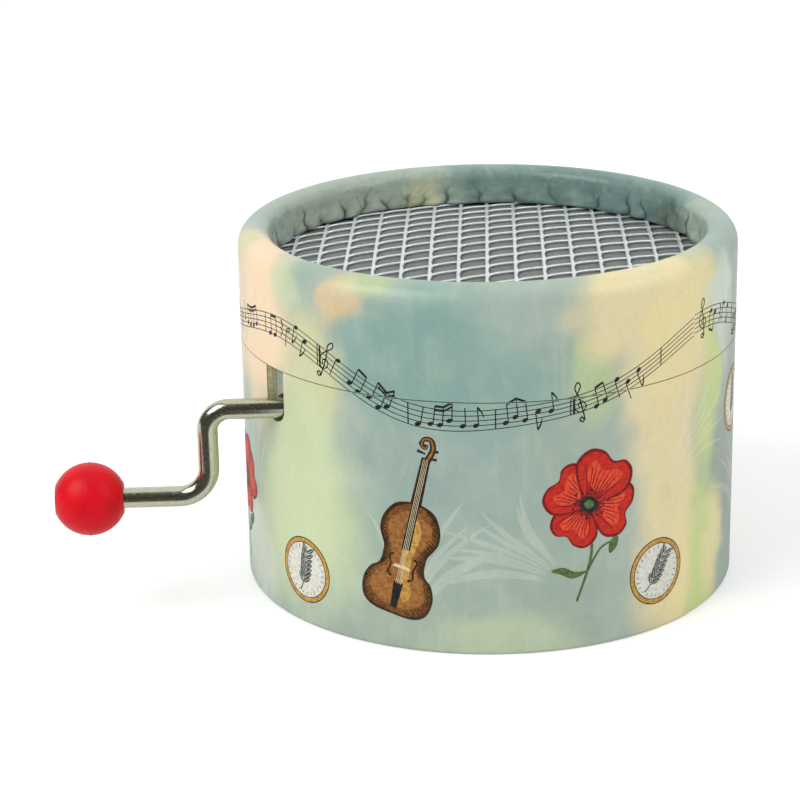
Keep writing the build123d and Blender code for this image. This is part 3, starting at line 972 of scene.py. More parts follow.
head_length = 1.2 * MM
head_radius = 1.65 * MM
wire_tip = wire_low.x + head_length
wire_line = bent_line(
    [
        Vector((wire_high.x, crank_y, crank_height)),
        Vector((-crank_reach, crank_y, crank_height)),
        Vector((-crank_reach, crank_y, grip_height)),
        Vector((wire_tip, crank_y, grip_height)),
    ],
    (upper_bend, grip_bend),
)
print(len(wire_line), "rings along the wire")

# %% Crank wire
wire_sides = 40
end_bevel = 0.25 * MM
head_flat = 0.9 * MM
sideways = Vector((0, 1, 0))
end, heading = wire_line[0]
rings = [(end, heading, wire_radius * 0.8)]
rings += [(end + heading * end_bevel, heading, wire_radius)]
rings += [(point, direction, wire_radius) for point, direction in wire_line[1:]]
tip, heading = wire_line[-1]
rings += [(tip, heading, head_radius)]
rings += [(tip + heading * head_flat, heading, head_radius)]
rings += [(tip + heading * head_length, heading, head_radius * 0.7)]
points = []
for point, direction, radius in rings:
    upwards = sideways.cross(direction)
    for side in range(wire_sides):
        turn = 2 * math.pi * side / wire_sides
        points.append(point + (sideways * math.cos(turn) + upwards * math.sin(turn)) * radius)
faces = tube_faces(len(rings), wire_sides)
wire_piece = new_piece("crank_rod", points, faces, sharp_angle=50)
print("wire", len(faces), "faces")

# %% [markdown]
# ## The knob
#
# The knob is a moulded ball with flattened ends. It is turned about the wire's line. A
# fine ridge runs round its middle, where the two halves of the mould met, and the surface
# sinks a little unevenly, as thick plastic does.

# %% Profile of the knob
knob_radius = (knob_high.z - knob_low.z) / 2
knob_half = (knob_high.x - knob_low.x) / 2
knob_edge = 0.45 * MM
bore_radius = wire_radius + 0.05 * MM
bore_bevel = 0.15 * MM
face_angle = math.asin((knob_half - knob_edge * 0.35) / knob_radius)
profile = [
    (wire_low.x + 2 * head_length - knob_centre.x, bore_radius),
    (knob_half - bore_bevel, bore_radius),
    (knob_half, bore_radius + 0.8 * bore_bevel),
]
ridge_height = 0.05 * MM
ball = []
ball_steps = 47
for number in range(ball_steps + 1):
    turn = face_angle - 2 * face_angle * number / ball_steps
    offset = knob_radius * math.sin(turn)
    ball.append((offset, (knob_radius - ridge_height) * math.cos(turn)))
for offset, share in ((0.04 * MM, 1.0), (0.09 * MM, 0.3), (0.14 * MM, 0.0)):
    reach = (knob_radius - ridge_height) * math.sqrt(1 - (offset / knob_radius) ** 2)
    ball += [(offset, reach + share * ridge_height), (-offset, reach + share * ridge_height)]
ball.sort(reverse=True)
inner_rim = (knob_half, ball[0][1] - knob_edge * 0.6)
outer_rim = (-knob_half, ball[-1][1] - knob_edge * 0.6)
profile += [inner_rim, *ball, outer_rim]
print(len(profile), "points in the knob's profile")

# %% Knob
knob_sides = 96
mould_sink = 0.006
points = []
for offset, radius in profile:
    for side in range(knob_sides):
        turn = 2 * math.pi * side / knob_sides
        sink = 1 - mould_sink * math.sin(2 * turn + 0.6) * (1 - (offset / knob_radius) ** 2)
        reach = radius * min(1.0, sink) if radius > 2 * bore_radius else radius
        aside = Vector((offset, reach * math.cos(turn), reach * math.sin(turn)))
        points.append(knob_centre + aside)
faces = tube_faces(len(profile), knob_sides)
knob_ball = new_piece("knob_ball", points, faces, sharp_angle=50)
print("knob", len(faces), "faces")

# %% [markdown]
# ## Metals and plastic that show
#
# Nickel plating mirrors the room, so its material stays simple: nearly smooth, slightly
# warm, with faint rubbing. The aluminium of the mesh is duller. The red plastic is satin,
# with shallow dents and a few scuffs that catch the light.

# %% Nickel, aluminium and red plastic
def metal_finish(name, code, roughness, rub, dent=0.004 * MM, stretch=(1, 1, 1), metallic=1.0):
    """Metal whose tone and shine vary with fine rubbing."""
    material, tree, shader = new_finish(name, roughness, metallic)
    rubbing = grain(tree, rub, stretch=stretch, detail=5.0)
    base = colour(code)
    dull = tuple(0.85 * v for v in base[:3]) + (1.0,)
    tree.links.new(stained(tree, base, dull, rubbing, 0.35, 0.8), shader.inputs["Base Color"])
    shine = ramped(tree, rubbing, 0.3, 0.75, roughness * 0.8, min(1.0, roughness * 1.5))
    tree.links.new(shine, shader.inputs["Roughness"])
    raised(tree, shader, rubbing, dent)
    return material


def plastic_finish(name, code, shade_code, roughness):
    """Moulded plastic with shallow dents and a few scuffs."""
    material, tree, shader = new_finish(name, roughness)
    sinks = grain(tree, 3 * MM, detail=2.0)
    scuffs = grain(tree, 0.5 * MM, stretch=(3, 1, 1), detail=6.0, distortion=1.0)
    paint = stained(tree, colour(code), colour(shade_code), sinks, 0.3, 0.7)
    tree.links.new(paint, shader.inputs["Base Color"])
    shader.inputs["Specular IOR Level"].default_value = 0.2
    worn = ramped(tree, scuffs, 0.55, 0.75, roughness, min(1.0, roughness + 0.25))
    tree.links.new(worn, shader.inputs["Roughness"])
    raised(tree, shader, sinks, 0.05 * MM)
    return material


nickel = metal_finish("nickel_wire", "cfd0b9", 0.19, 0.35 * MM, 0.001 * MM)
aluminium = metal_finish("expanded_mesh", "e9eef2", 0.36, 0.5 * MM, 0.01 * MM, metallic=0.6)
red_plastic = plastic_finish("red_plastic", "dd0018", "cc0019", 0.36)
dress(mesh_strands, aluminium, "upper_half", "expanded_mesh", "mesh_grille")
dress(wire_piece, nickel, "crank", "nickel_wire", "crank_wire")
dress(knob_ball, red_plastic, "knob", "red_plastic", "crank_knob")
print("crank, knob and mesh dressed")

# %% [markdown]
# ## Boards
#
# Bare board shows in the notch, at the seam, under the mesh and underneath. Rolled board
# has long fibres and a fleck here and there. Its layers lie round the axis like the rings of
# a tree, so they follow the distance from the axis and show at the cut edges alone.

# %% Boards
def board_finish(name, code, fleck_code, layered=0.0):
    """Raw board with fibres, flecks and, at cut edges, layers."""
    material, tree, shader = new_finish(name, 0.85)
    fibres = grain(tree, 0.4 * MM, stretch=(2.5, 2.5, 1), detail=5.0, distortion=0.6)
    flecks = grain(tree, 1.1 * MM, detail=2.0)
    base, fleck = colour(code), colour(fleck_code)
    light = tuple(min(1.0, 1.25 * v) for v in base[:3]) + (1.0,)
    paint = stained(tree, base, fleck, fibres, 0.3, 0.75, 0.55)
    paint = stained(tree, paint, light, flecks, 0.6, 0.72, 0.5)
    if layered:
        flat = put(tree, "VectorMath", operation="MULTIPLY")
        tree.links.new(put(tree, "TexCoord").outputs["Object"], flat.inputs[0])
        flat.inputs[1].default_value = (1, 1, 0)
        layers = put(tree, "TexNoise", noise_dimensions="1D")
        tree.links.new(length_of(tree, flat.outputs[0]), layers.inputs["W"])
        layers.inputs["Scale"].default_value = 1 / layered
        paint = stained(tree, paint, fleck, layers.outputs["Fac"], 0.4, 0.6, 0.45)
    tree.links.new(paint, shader.inputs["Base Color"])
    shader.inputs["Specular IOR Level"].default_value = 0.25
    raised(tree, shader, fibres, 0.03 * MM)
    return material


tube_board = board_finish("board", "bcb794", "87845f", 0.25 * MM)
sleeve_board = board_finish("sleeve_board", "a4aa98", "7f8677", 0.3 * MM)
grey_board = board_finish("grey_board", "81847e", "686b66")
for node in ("lower_tube", "upper_tube", "rim_ring"):
    repaint(node, tube_board)
repaint("neck_sleeve", sleeve_board)
repaint("base_disc", grey_board)
dress(grille_board, grey_board, "upper_half", "grey_board", "grille_backing")
print("boards dressed")

# %% [markdown]
# ## Finishes of the movement
#
# The movement shows when the upper half is lifted off. Each of its metals is finished in
# its own way: the bedplate is cast and tumbled, the comb is ground along its length, the
# barrel is drawn brass and the screws are zinc plated. The wheel on the cylinder is white
# moulded plastic, and the block under the bedplate is sawn wood.

# %% Movement
def wood_finish():
    """Plain sawn wood with rings stretched along the grain."""
    material, tree, shader = new_finish("block_wood", 0.7)
    rings = grain(tree, 1.3 * MM, stretch=(14, 1, 1), detail=5.0, distortion=0.8)
    pores = grain(tree, 0.25 * MM, stretch=(16, 1, 1), detail=3.0)
    paint = stained(tree, colour("d2ae7a"), colour("b08550"), rings, 0.3, 0.7)
    paint = stained(tree, paint, colour("7c5a33"), pores, 0.55, 0.7, 0.6)
    tree.links.new(paint, shader.inputs["Base Color"])
    raised(tree, shader, pores, 0.03 * MM)
    return material


block_wood = wood_finish()
cast_zinc = metal_finish("cast_zinc", "b9b5aa", 0.42, 0.6 * MM, 0.02 * MM)
comb_steel = metal_finish("comb_steel", "c3c6c9", 0.28, 0.12 * MM, 0.004 * MM, (30, 1, 1))
screw_steel = metal_finish("screw_steel", "cfcdc4", 0.22, 0.4 * MM)
barrel_brass = metal_finish("barrel_brass", "d7b36a", 0.24, 0.15 * MM, 0.004 * MM, (1, 30, 1))
pin_steel = metal_finish("pin_steel", "c0c0c2", 0.25, 0.3 * MM)
weight_lead = metal_finish("weight_lead", "7d8186", 0.55, 0.4 * MM, 0.03 * MM)
wheel_plastic = plastic_finish("wheel_plastic", "ece8d8", "ddd8c6", 0.45)
for node, material, edge in (
    ("riser_block", block_wood, 0.15 * MM),
    ("bedplate", cast_zinc, 0.12 * MM),
    ("rear_bearing", cast_zinc, 0.12 * MM),
    ("bearing_screw", screw_steel, 0.06 * MM),
    ("mounting_washers", screw_steel, 0.05 * MM),
    ("mounting_screws", screw_steel, 0.08 * MM),
    ("comb", comb_steel, 0.04 * MM),
    ("comb_weights", weight_lead, 0.05 * MM),
    ("comb_screws", screw_steel, 0.06 * MM),
    ("cylinder_barrel", barrel_brass, 0),
    ("cylinder_pins", pin_steel, 0),
    ("cylinder_caps", barrel_brass, 0),
    ("cylinder_arbor", screw_steel, 0.08 * MM),
    ("cylinder_gear", wheel_plastic, 0.04 * MM),
    ("crank_worm", barrel_brass, 0),
    ("crank_collars", screw_steel, 0.08 * MM),
):
    repaint(node, material, edge)
print("movement dressed")

# %% [markdown]
# ## How the print is made
#
# Printed lines are finer than a baked picture could hold, so each colour of ink is a thin
# sheet that lies on the paper. A motif is drawn flat, in millimetres, on the unrolled
# paper: the first number, s, runs round the drum from the front, and the second one, z, is
# the height. Two shapes are enough. `stroke` is a pen line that may grow thinner, and
# `patch` is a filled outline. Each goes on a numbered layer, and a higher layer lies a hair
# further out, so that it covers the ones below.

# %% Pen, brush and placing
sheets = {}


def patch(ink, layer, outline):
    """A filled outline, cut into triangles."""
    corners = [Vector((s, z, 0)) for s, z in outline]
    sheet = sheets.setdefault((ink, layer), [])
    for triangle in geometry.tessellate_polygon([corners]):
        sheet.append([outline[i] for i in triangle])


def stroke(ink, layer, path, width, end_width=None):
    """A pen line along a path, which may end thinner or wider than it starts."""
    last_width = width if end_width is None else end_width
    sheet = sheets.setdefault((ink, layer), [])
    edges = []
    for number, (s, z) in enumerate(path):
        ahead = path[min(number + 1, len(path) - 1)]
        behind = path[max(number - 1, 0)]
        run, rise = ahead[0] - behind[0], ahead[1] - behind[1]
        length = math.hypot(run, rise) or 1.0
        half = (width + (last_width - width) * number / (len(path) - 1)) / 2
        aside = (-rise / length * half, run / length * half)
        edges.append(((s + aside[0], z + aside[1]), (s - aside[0], z - aside[1])))
    for (left, right), (next_left, next_right) in zip(edges, edges[1:]):
        sheet.append([left, right, next_right, next_left])


def placed(points, at, turn=0.0, size=1.0, mirror=1):
    """Points of a motif turned by degrees, scaled and moved to their place."""
    cosine, sine = math.cos(math.radians(turn)), math.sin(math.radians(turn))
    moved = []
    for s, z in points:
        aside = mirror * s * cosine - z * sine
        rise = mirror * s * sine + z * cosine
        moved.append((at[0] + size * aside, at[1] + size * rise))
    return moved


print("pen and brush ready")

# %% Smooth lines and ovals
def curved(points, closed=False, steps=6):
    """A smooth line through points."""
    count = len(points)
    line = []
    for i in range(count if closed else count - 1):
        if closed:
            four = [points[(i + k) % count] for k in (-1, 0, 1, 2)]
        else:
            four = [points[min(max(i + k, 0), count - 1)] for k in (-1, 0, 1, 2)]
        for step in range(steps):
            t = step / steps
            weights = (
                -0.5 * t + t * t - 0.5 * t**3,
                1 - 2.5 * t * t + 1.5 * t**3,
                0.5 * t + 2 * t * t - 1.5 * t**3,
                -0.5 * t * t + 0.5 * t**3,
            )
            s, z = (sum(w * p[axis] for w, p in zip(weights, four)) for axis in (0, 1))
            line.append((s, z))
    if not closed:
        line.append(points[-1])
    return line


def oval(half_width, half_height, centre=(0, 0), turn=0.0, count=20):
    """Outline of an oval."""
    outline = []
    for number in range(count):
        angle = 2 * math.pi * number / count
        outline.append((half_width * math.cos(angle), half_height * math.sin(angle)))
    return placed(outline, centre, turn)


print("smooth lines ready")

# %% [markdown]
# ## Pale swirls
#
# Large faint plumes lie under all other motifs. They are the paper's own wash with a light
# glaze over it, drawn as fans of long blades, each thin at both ends.

# %% Pale swirls
blade_rise = ((2.2, 2.4), (3.6, 5.0), (6.6, 9.0), (11, 12.0), (14, 13.4))
blade_tip = 0.06
blade_belly = 0.62
blade_sway = 0.02


def plume(at, turn, size, blades, mirror=1):
    """A fan of long leaf-shaped blades that grow from one foot and sway to one side."""
    for number in range(blades):
        lean = -0.5 + number / (blades - 1)
        reach = 1 - 0.5 * abs(lean) - 0.12 * (number % 2)
        curl = []
        for spread, rise in blade_rise:
            curl.append((spread * lean + blade_sway * (rise * reach) ** 2, rise * reach))
        blade = placed(curved(curl), at, turn, size, mirror)
        middle = len(blade) // 2
        stroke("veil", 1, blade[: middle + 1], blade_tip * size, blade_belly * size)
        stroke("veil", 1, blade[middle:], blade_belly * size, blade_tip * size)


for at, turn, size, blades, mirror in (
    ((-12, 3), -10, 1.5, 9, 1),
    ((10, 10), 50, 1.3, 9, -1),
    ((27, 21), -38, 1.2, 8, 1),
    ((-40, 14), 24, 1.1, 8, 1),
    ((52, 6), 12, 1.4, 9, -1),
    ((76, 26), -60, 1.2, 8, 1),
    ((96, 8), -8, 1.5, 9, 1),
    ((-66, 8), 10, 1.4, 9, -1),
    ((-92, 24), 55, 1.2, 8, 1),
):
    plume(at, turn, size, blades, mirror)
print("plumes", sum(len(faces) for faces in sheets.values()), "faces")

# %% [markdown]
# ## A ribbon of music
#
# Five lines run right round the drum in three slow waves. They pass over the notch and
# cross the seam between the halves, as the printed paper was cut through there. Notes
# stand square to the ribbon, in bars of different lengths. Where the paper's end lies over
# its start, one fine upright line of pale ink is a painted highlight along the step.

# %% Ribbon of music
ribbon_waves = 3
ribbon_level = 37.0
ribbon_swing = 4.4
ribbon_start = 60 / 360
ribbon_steps = 440
line_gap = 0.66
turn_length = 2 * math.pi * drum_radius / MM


def ribbon(s, line):
    """Point on the ribbon. Line 0 is the middle line, and the lines count upwards."""
    phase = 2 * math.pi * ribbon_waves * (s / turn_length + ribbon_start)
    height = ribbon_level + ribbon_swing * math.cos(phase) + 0.7 * math.sin(2.3 * phase)
    return (s, height + line * line_gap * (1 + 0.12 * math.sin(phase)))


def on_ribbon(points, s, line):
    """Points of a sign, set on the ribbon and leaning with it."""
    before, after = ribbon(s - 0.5, 0), ribbon(s + 0.5, 0)
    lean = math.degrees(math.atan2(after[1] - before[1], 1.0))
    return placed(points, ribbon(s, line), lean)


overlap_run = math.radians(overlap_degrees) * drum_radius / MM
first_run = overlap_run - turn_length + 0.2
ribbon_step = (turn_length - 0.4) / ribbon_steps
for line in range(-2, 3):
    path = [ribbon(first_run + ribbon_step * i, line) for i in range(ribbon_steps + 1)]
    stroke("dark", 2, path, 0.11)
# pale ink painted along the overlap as the highlight of its step
for bottom, top in ((1.3, seam_height / MM), (lid_floor / MM, 47.5)):
    stroke("edge", 2, [(overlap_run + 0.02, bottom), (overlap_run + 0.02, top)], 0.1)
print("ribbon laid")

# %% Notes
head_lean = 22
head_shape = oval(0.4, 0.29, turn=head_lean, count=12)
stem_aside = 0.36
stem_length = 2.5


def note(s, line, up=True, open_head=False, flag=False):
    """One note with its stem. It gives back the stem's end for a beam."""
    patch("dark", 3, on_ribbon(head_shape, s, line))
    if open_head:
        patch("cream", 4, on_ribbon(oval(0.2, 0.14, turn=head_lean, count=8), s, line))
    way = 1 if up else -1
    side = way * stem_aside
    reach = way * stem_length
    stem = on_ribbon([(side, 0), (side, reach)], s, line)
    stroke("dark", 3, stem, 0.14)
    if flag:
        hook = [(side, reach), (side + 0.5, reach - 0.7 * way), (side + 0.75, reach - 1.5 * way)]
        stroke("dark", 3, on_ribbon(curved(hook), s, line), 0.3, 0.08)
    return stem[1]


def beamed(start, pitches, gap, up=True, double=False):
    """A group of notes whose stems are joined by a beam."""
    ends = [note(start + gap * i, pitch, up) for i, pitch in enumerate(pitches)]
    stroke("dark", 3, ends, 0.32)
    if double:
        drop = -0.55 if up else 0.55
        stroke("dark", 3, [(s, z + drop) for s, z in ends], 0.24)


print("a stem is", stem_length, "mm long")

# %% Signs and bars
def clef(s):
    """A curled sign at the head of a bar."""
    curl = [(0.1, -2.6), (-0.45, -2.3), (-0.1, -1.9), (0.25, -2.3), (0.05, 0.5), (-0.35, 2.1)]
    curl += [(0.15, 2.9), (0.4, 2.2), (-0.7, 0.6), (-0.75, -0.7), (0.05, -1.2), (0.75, -0.6)]
    curl += [(0.35, 0.25), (-0.3, -0.1), (-0.1, -0.6)]
    stroke("dark", 3, on_ribbon(curved(curl), s, 0), 0.2, 0.14)


def rest_sign(s):
    """A zigzag rest."""
    zigzag = [(-0.25, 1.2), (0.25, 0.5), (-0.2, 0.05), (0.3, -0.6), (-0.1, -0.75), (-0.15, -1.2)]
    stroke("dark", 3, on_ribbon(zigzag, s, 0), 0.26, 0.16)


tune = random.Random(12)
s = first_run + 2.0
bar = 0
while s < overlap_run - 9:
    if bar % 3 == 0:
        clef(s)
        s += 2.3
    bar_end = s + tune.choice((7.4, 8.6, 10.2))
    while s < bar_end - 2.2 and s < overlap_run - 5:
        kind = tune.random()
        up = tune.random() < 0.5
        pitch = tune.choice((-2, -1.5, -1, -0.5, 0)) if up else tune.choice((0, 0.5, 1, 1.5, 2))
        if kind < 0.42 and s < bar_end - 4:
            pitches = [pitch + tune.choice((-0.5, 0, 0.5)) for _ in range(tune.choice((2, 3, 4)))]
            beamed(s, pitches, 1.25, up, kind < 0.2)
            s += 1.25 * len(pitches) + 0.5
        elif kind < 0.8:
            note(s, pitch, up, kind > 0.7, kind < 0.58)
            s += 1.7
        else:
            rest_sign(s)
            s += 1.5
    stroke("dark", 3, [ribbon(bar_end, -2), ribbon(bar_end, 2)], 0.16)
    if bar % 3 == 2:
        stroke("dark", 3, [ribbon(bar_end + 0.45, -2), ribbon(bar_end + 0.45, 2)], 0.32)
    s = bar_end + 1.3
    bar += 1
print(bar, "bars of music")

# %% [markdown]
# ## Violins
#
# A violin in browns and gold is the heaviest motif. It is built up as an engraver would
# colour one: a dark outline, a brown body inside it, lighter wood towards the middle, then
# f-holes, strings and a good deal of hatching along the edges.

# %% Outline of a violin
violin_half = [(0, -7.2), (2.4, -7.1), (3.9, -6.1), (4.3, -4.3), (3.7, -2.5)]
violin_half += [(2.75, -1.6), (2.45, -0.5), (2.5, 0.9), (2.9, 1.7)]
violin_half += [(3.45, 3.0), (3.3, 4.7), (2.3, 6.2), (1.0, 6.9), (0, 7.0)]
violin_glow = [(0.9, -5.6), (1.9, -4.2), (1.2, -2.6), (1.0, 0.4)]
violin_glow += [(1.5, 3.2), (0.7, 5.2), (-0.2, 3.2), (0.1, -2.4)]
violin_ends = 5.5


def violin_outline(grow):
    """Outline of the body, grown outwards or inwards."""
    right = []
    for s, z in violin_half:
        end = (z > violin_ends) - (z < -violin_ends)
        right.append((s + grow * min(1, s / 2), z + grow * end))
    left = [(-s, z) for s, z in reversed(right[1:-1])]
    return curved(right + left, closed=True, steps=4)


print("a violin's body has", len(violin_outline(0.0)), "points")

# %% Hatching of a violin
def violin_hatching(here):
    """Short strokes inwards from both edges of the body."""
    right = curved(violin_half, steps=7)
    for number in range(3, len(right) - 3):
        s, z = right[number]
        length = 0.55 + 0.45 * math.sin(number * 1.7) ** 2
        for side, share in ((-1, 0.6), (1, 1.0)):
            inner = s - share * length
            if inner > 0.9:
                hatch = [(side * (s - 0.02), z), (side * inner, z + 0.5)]
                stroke("umber", 5, here(hatch), 0.16, 0.05)


print("hatching ready")

# %% Violin
def violin(at, turn, size):
    """A whole violin: body, neck, scroll, strings and hatching."""

    def here(points):
        return placed(points, at, turn, size)

    patch("umber", 2, here(violin_outline(0.28)))
    patch("chestnut", 3, here(violin_outline(0.0)))
    patch("amber", 4, here(violin_outline(-0.75)))
    patch("gold", 5, here(curved(violin_glow, closed=True)))
    for side in (-1, 1):
        hole = [(1.15, -2.6), (1.6, -2.3), (1.45, -1.2), (1.75, -0.2), (1.45, 0.2)]
        stroke("umber", 6, here(curved([(s * side, z) for s, z in hole])), 0.3, 0.24)
        patch("umber", 6, here(oval(0.2, 0.2, (1.2 * side, -2.6), count=8)))
        patch("umber", 6, here(oval(0.16, 0.16, (1.4 * side, 0.2), count=8)))
    patch("dark", 6, here([(-0.62, -3.2), (0.62, -3.2), (0.4, -6.6), (-0.4, -6.6)]))
    patch("cream", 7, here([(-1.15, -1.35), (1.15, -1.35), (0.95, -1.0), (-0.95, -1.0)]))
    patch("umber", 2, here([(-0.72, 6), (0.72, 6), (0.55, 13.2), (-0.55, 13.2)]))
    patch("dark", 6, here([(-0.55, 1.2), (0.55, 1.2), (0.4, 13.0), (-0.4, 13.0)]))
    scroll = [(0.15, 12.8), (0.55, 14.4), (0.1, 15.5), (-0.75, 15.4)]
    scroll += [(-0.85, 14.6), (-0.3, 14.4), (-0.2, 14.9)]
    stroke("umber", 3, here(curved(scroll)), 0.95, 0.3)
    stroke("amber", 5, here(curved(scroll)), 0.35, 0.1)
    for peg, side in ((13.2, 1), (13.7, -1), (14.2, 1), (14.7, -1)):
        stroke("umber", 3, here([(0.2 * side, peg), (1.25 * side, peg + 0.15)]), 0.22, 0.42)
    for string in (-0.27, -0.09, 0.09, 0.27):
        stroke("cream", 8, here([(string * 1.15, -3.4), (string, 13.0)]), 0.07)
    violin_hatching(here)


for at, turn, size in (((-11.5, 13.2), -13, 1.12), ((64, 15), 11, 1.12), ((-84, 14.5), 16, 1.05)):
    violin(at, turn, size)
print("violins drawn")

# %% [markdown]
# ## Poppies
#
# The red motif is a poppy. Its petals overlap, so each has a dark rim under a bright face,
# and fine darker veins run to the middle. The heart is nearly black with a ring of dots.

# %% Stem and petals of a poppy
petal_shape = [(0.4, 0), (2.6, 1.6), (4.6, 3.9), (4.2, 6.4), (2.4, 7.4), (0.6, 6.7)]
petal_shape += [(-1.4, 7.5), (-3.6, 6.9), (-4.5, 4.4), (-2.7, 1.7), (-0.4, 0)]
glow_shape = [(0.6, 2.2), (2.4, 3.9), (2.7, 5.6), (1.2, 5.7)]
glow_shape += [(-0.2, 5.0), (-2.2, 5.8), (-2.4, 3.8), (-0.6, 2.2)]


def poppy_stem(at, turn, size, stem_bend):
    """The bent stem with a leaf and a bud on its own short stem."""
    stem = placed(curved([(0, -1), (stem_bend, -7), (stem_bend * 0.4, -14)]), at, turn * 0.4, size)
    stroke("stem", 2, stem, 0.5 * size, 0.35 * size)
    bud = curved([(0.1, 1.6), (0.8, 0.2), (0.4, -1.5), (-0.5, -1.5), (-0.8, 0.1)], closed=True)
    leaf = [(0, 0), (1.8, 0.7), (3.4, 2.2), (5.3, 2.4), (4.0, 1.2), (2.4, -0.2)]
    foot = stem[len(stem) * 2 // 3]
    mirror = -1 if stem_bend > 0 else 1
    patch("stem", 3, placed(curved(leaf, closed=True), foot, 18, size * 0.9, mirror))
    stroke("stem", 3, placed(curved([(0, 0), (2.2, 2.6), (4.0, 3.2)]), foot, 8, size), 0.35, 0.25)
    patch("stem", 4, placed(bud, placed([(4.3, 2.6)], foot, 8, size)[0], 160, size * 0.8))


def poppy_petal(here, layer, lean, scale):
    """One petal: a dark rim, a bright face, a glow in its middle and its veins."""
    middle = placed([(0, 0.35)], (0, 0), lean)[0]
    petal = placed(petal_shape, (0, 0), lean, scale)
    face = placed(petal_shape, middle, lean, scale * 0.9)
    glow = placed(glow_shape, (0, 0), lean, scale)
    patch("crimson", layer, here(curved(petal, closed=True)))
    patch("scarlet", layer + 0.5, here(curved(face, closed=True)))
    patch("coral", layer + 0.7, here(curved(glow, closed=True)))
    for vein in range(-4, 5):
        bend = (0.62 * vein, 3.6 + 0.3 * abs(vein) % 1)
        ray = [(0.25 * vein, 1.2), bend, (0.85 * vein, 6.0 - 0.22 * abs(vein))]
        stroke("crimson", layer + 0.8, here(placed(ray, (0, 0), lean, scale)), 0.2, 0.06)


print("a petal has", len(petal_shape), "corner points")

# %% Poppy
def poppy(at, turn, size, stem_bend):
    """A poppy with its stem, four petals and a dark heart."""

    def here(points):
        return placed(points, at, turn, size)

    poppy_stem(at, turn, size, stem_bend)
    for number, (lean, scale) in enumerate(((172, 0.8), (78, 0.86), (-82, 0.9), (-4, 1.0))):
        poppy_petal(here, 3 + number, lean, scale)
    patch("dark", 7.9, here(oval(1.5, 1.15)))
    patch("stem", 8.0, here(oval(0.75, 0.6)))
    dot_count = 18
    for number in range(dot_count):
        angle = 2 * math.pi * number / dot_count
        reach = 1.8 + 0.35 * (number % 3)
        spot = (reach * math.cos(angle), reach * 0.8 * math.sin(angle))
        patch("dark", 8.0, here(oval(0.17, 0.17, spot, count=6)))


for at, turn, size, bend in (
    ((13.5, 20.5), -24, 0.98, 1.6),
    ((-47.5, 15.5), 14, 0.86, -1.4),
    ((88, 17), 20, 0.95, 1.5),
    ((-104, 21), -16, 0.9, -1.6),
):
    poppy(at, turn, size, bend)
print("poppies drawn")

# %% [markdown]
# ## Medallions
#
# A small round picture in a gold ring gives the paper a fine detail. Inside is a sprig of
# leaves in greys on ivory, like an old engraving.

# %% Medallion
def medallion(at, turn, size):
    """A gold ring round an ivory disc with a sprig of leaves."""

    def here(points):
        return placed(points, at, turn, size)

    rounds = (("umber", 4.85), ("gold", 4.7), ("umber", 4.12), ("ivory", 4.0))
    for layer, (ink, radius) in enumerate(rounds, start=2):
        patch(ink, layer, here(oval(radius, radius, count=40)))
    stem = curved([(-1.6, -3.0), (-0.4, -1.2), (0.2, 0.8), (1.2, 3.0)])
    stroke("slate", 6, here(stem), 0.22, 0.1)
    leaf = [(0, 0), (0.5, 0.35), (1.3, 0.4), (1.9, 0.05), (1.2, -0.25), (0.5, -0.2)]
    leaf_outline = curved(leaf, closed=True, steps=3)
    rib = [(0.1, 0.02), (1.6, 0.06)]
    for number in range(4, len(stem) - 1, 2):
        for lean in (104, 20):
            patch("slate", 6, here(placed(leaf_outline, stem[number], lean, 0.92)))
            stroke("ivory", 7, here(placed(rib, stem[number], lean, 0.92)), 0.06)
    ray_count = 26
    for number in range(ray_count):
        angle = 2 * math.pi * number / ray_count
        ray = []
        for radius, turned in ((3.75, angle), (3.3, angle + 0.05)):
            ray.append((radius * math.cos(turned), radius * math.sin(turned)))
        stroke("slate", 6, here(ray), 0.09)


for at, turn in (
    ((-28.0, 8.0), 10),
    ((24.6, 8.6), -12),
    ((46.5, 27.0), 15),
    ((106, 10), -8),
    ((-64, 27), 5),
):
    medallion(at, turn, 0.98)
print("medallions drawn")

# %% [markdown]
# ## From the flat drawing to the drum
#
# Every flat face is cut into strips of just under a millimetre, so that it can bend with
# the wall. It is cut at the seam as well, since the upper half lifts off with its share of
# the print. Then the strips are wrapped onto the spiral of the paper and given a hair of
# thickness.

# %% Cut the flat faces
strip = 0.9


def clipped(outline, axis, limit, keep_above):
    """The part of a convex outline on one side of a line."""
    kept = []
    for here, there in zip(outline, outline[1:] + outline[:1]):
        inside = (here[axis] >= limit) == keep_above
        if inside:
            kept.append(here)
        if inside != ((there[axis] >= limit) == keep_above):
            share = (limit - here[axis]) / (there[axis] - here[axis])
            kept.append(tuple(a + (b - a) * share for a, b in zip(here, there)))
    return kept


def in_strips(outline):
    """A convex outline cut into upright strips."""
    first = math.floor(min(s for s, z in outline) / strip)
    last = math.floor(max(s for s, z in outline) / strip)
    for number in range(first, last + 1):
        part = clipped(clipped(outline, 0, number * strip, True), 0, (number + 1) * strip, False)
        if len(part) > 2:
            yield part


print("strips", strip, "mm wide")

# %% Wrap and thicken the ink
layer_lift = 0.0052 * MM
ink_thickness = 0.03 * MM
weld_reach = 0.0002 * MM


def lay_on_paper(sheet, outline, layer):
    """One flat face of ink, bent onto the drum in a mesh that is being built."""
    corners = []
    for s, z in outline:
        degrees = math.degrees(s * MM / drum_radius)
        turned = (degrees - overlap_degrees) % 360 + overlap_degrees - 360
        radius = paper_radius(turned) + layer_lift * layer
        corners.append(sheet.verts.new(on_drum(degrees, radius, z * MM)))
    face = sheet.faces.new(corners)
    middle = face.calc_center_median()
    face.normal_update()
    if face.normal.dot(Vector((middle.x, middle.y, 0))) < 0:
        face.normal_flip()


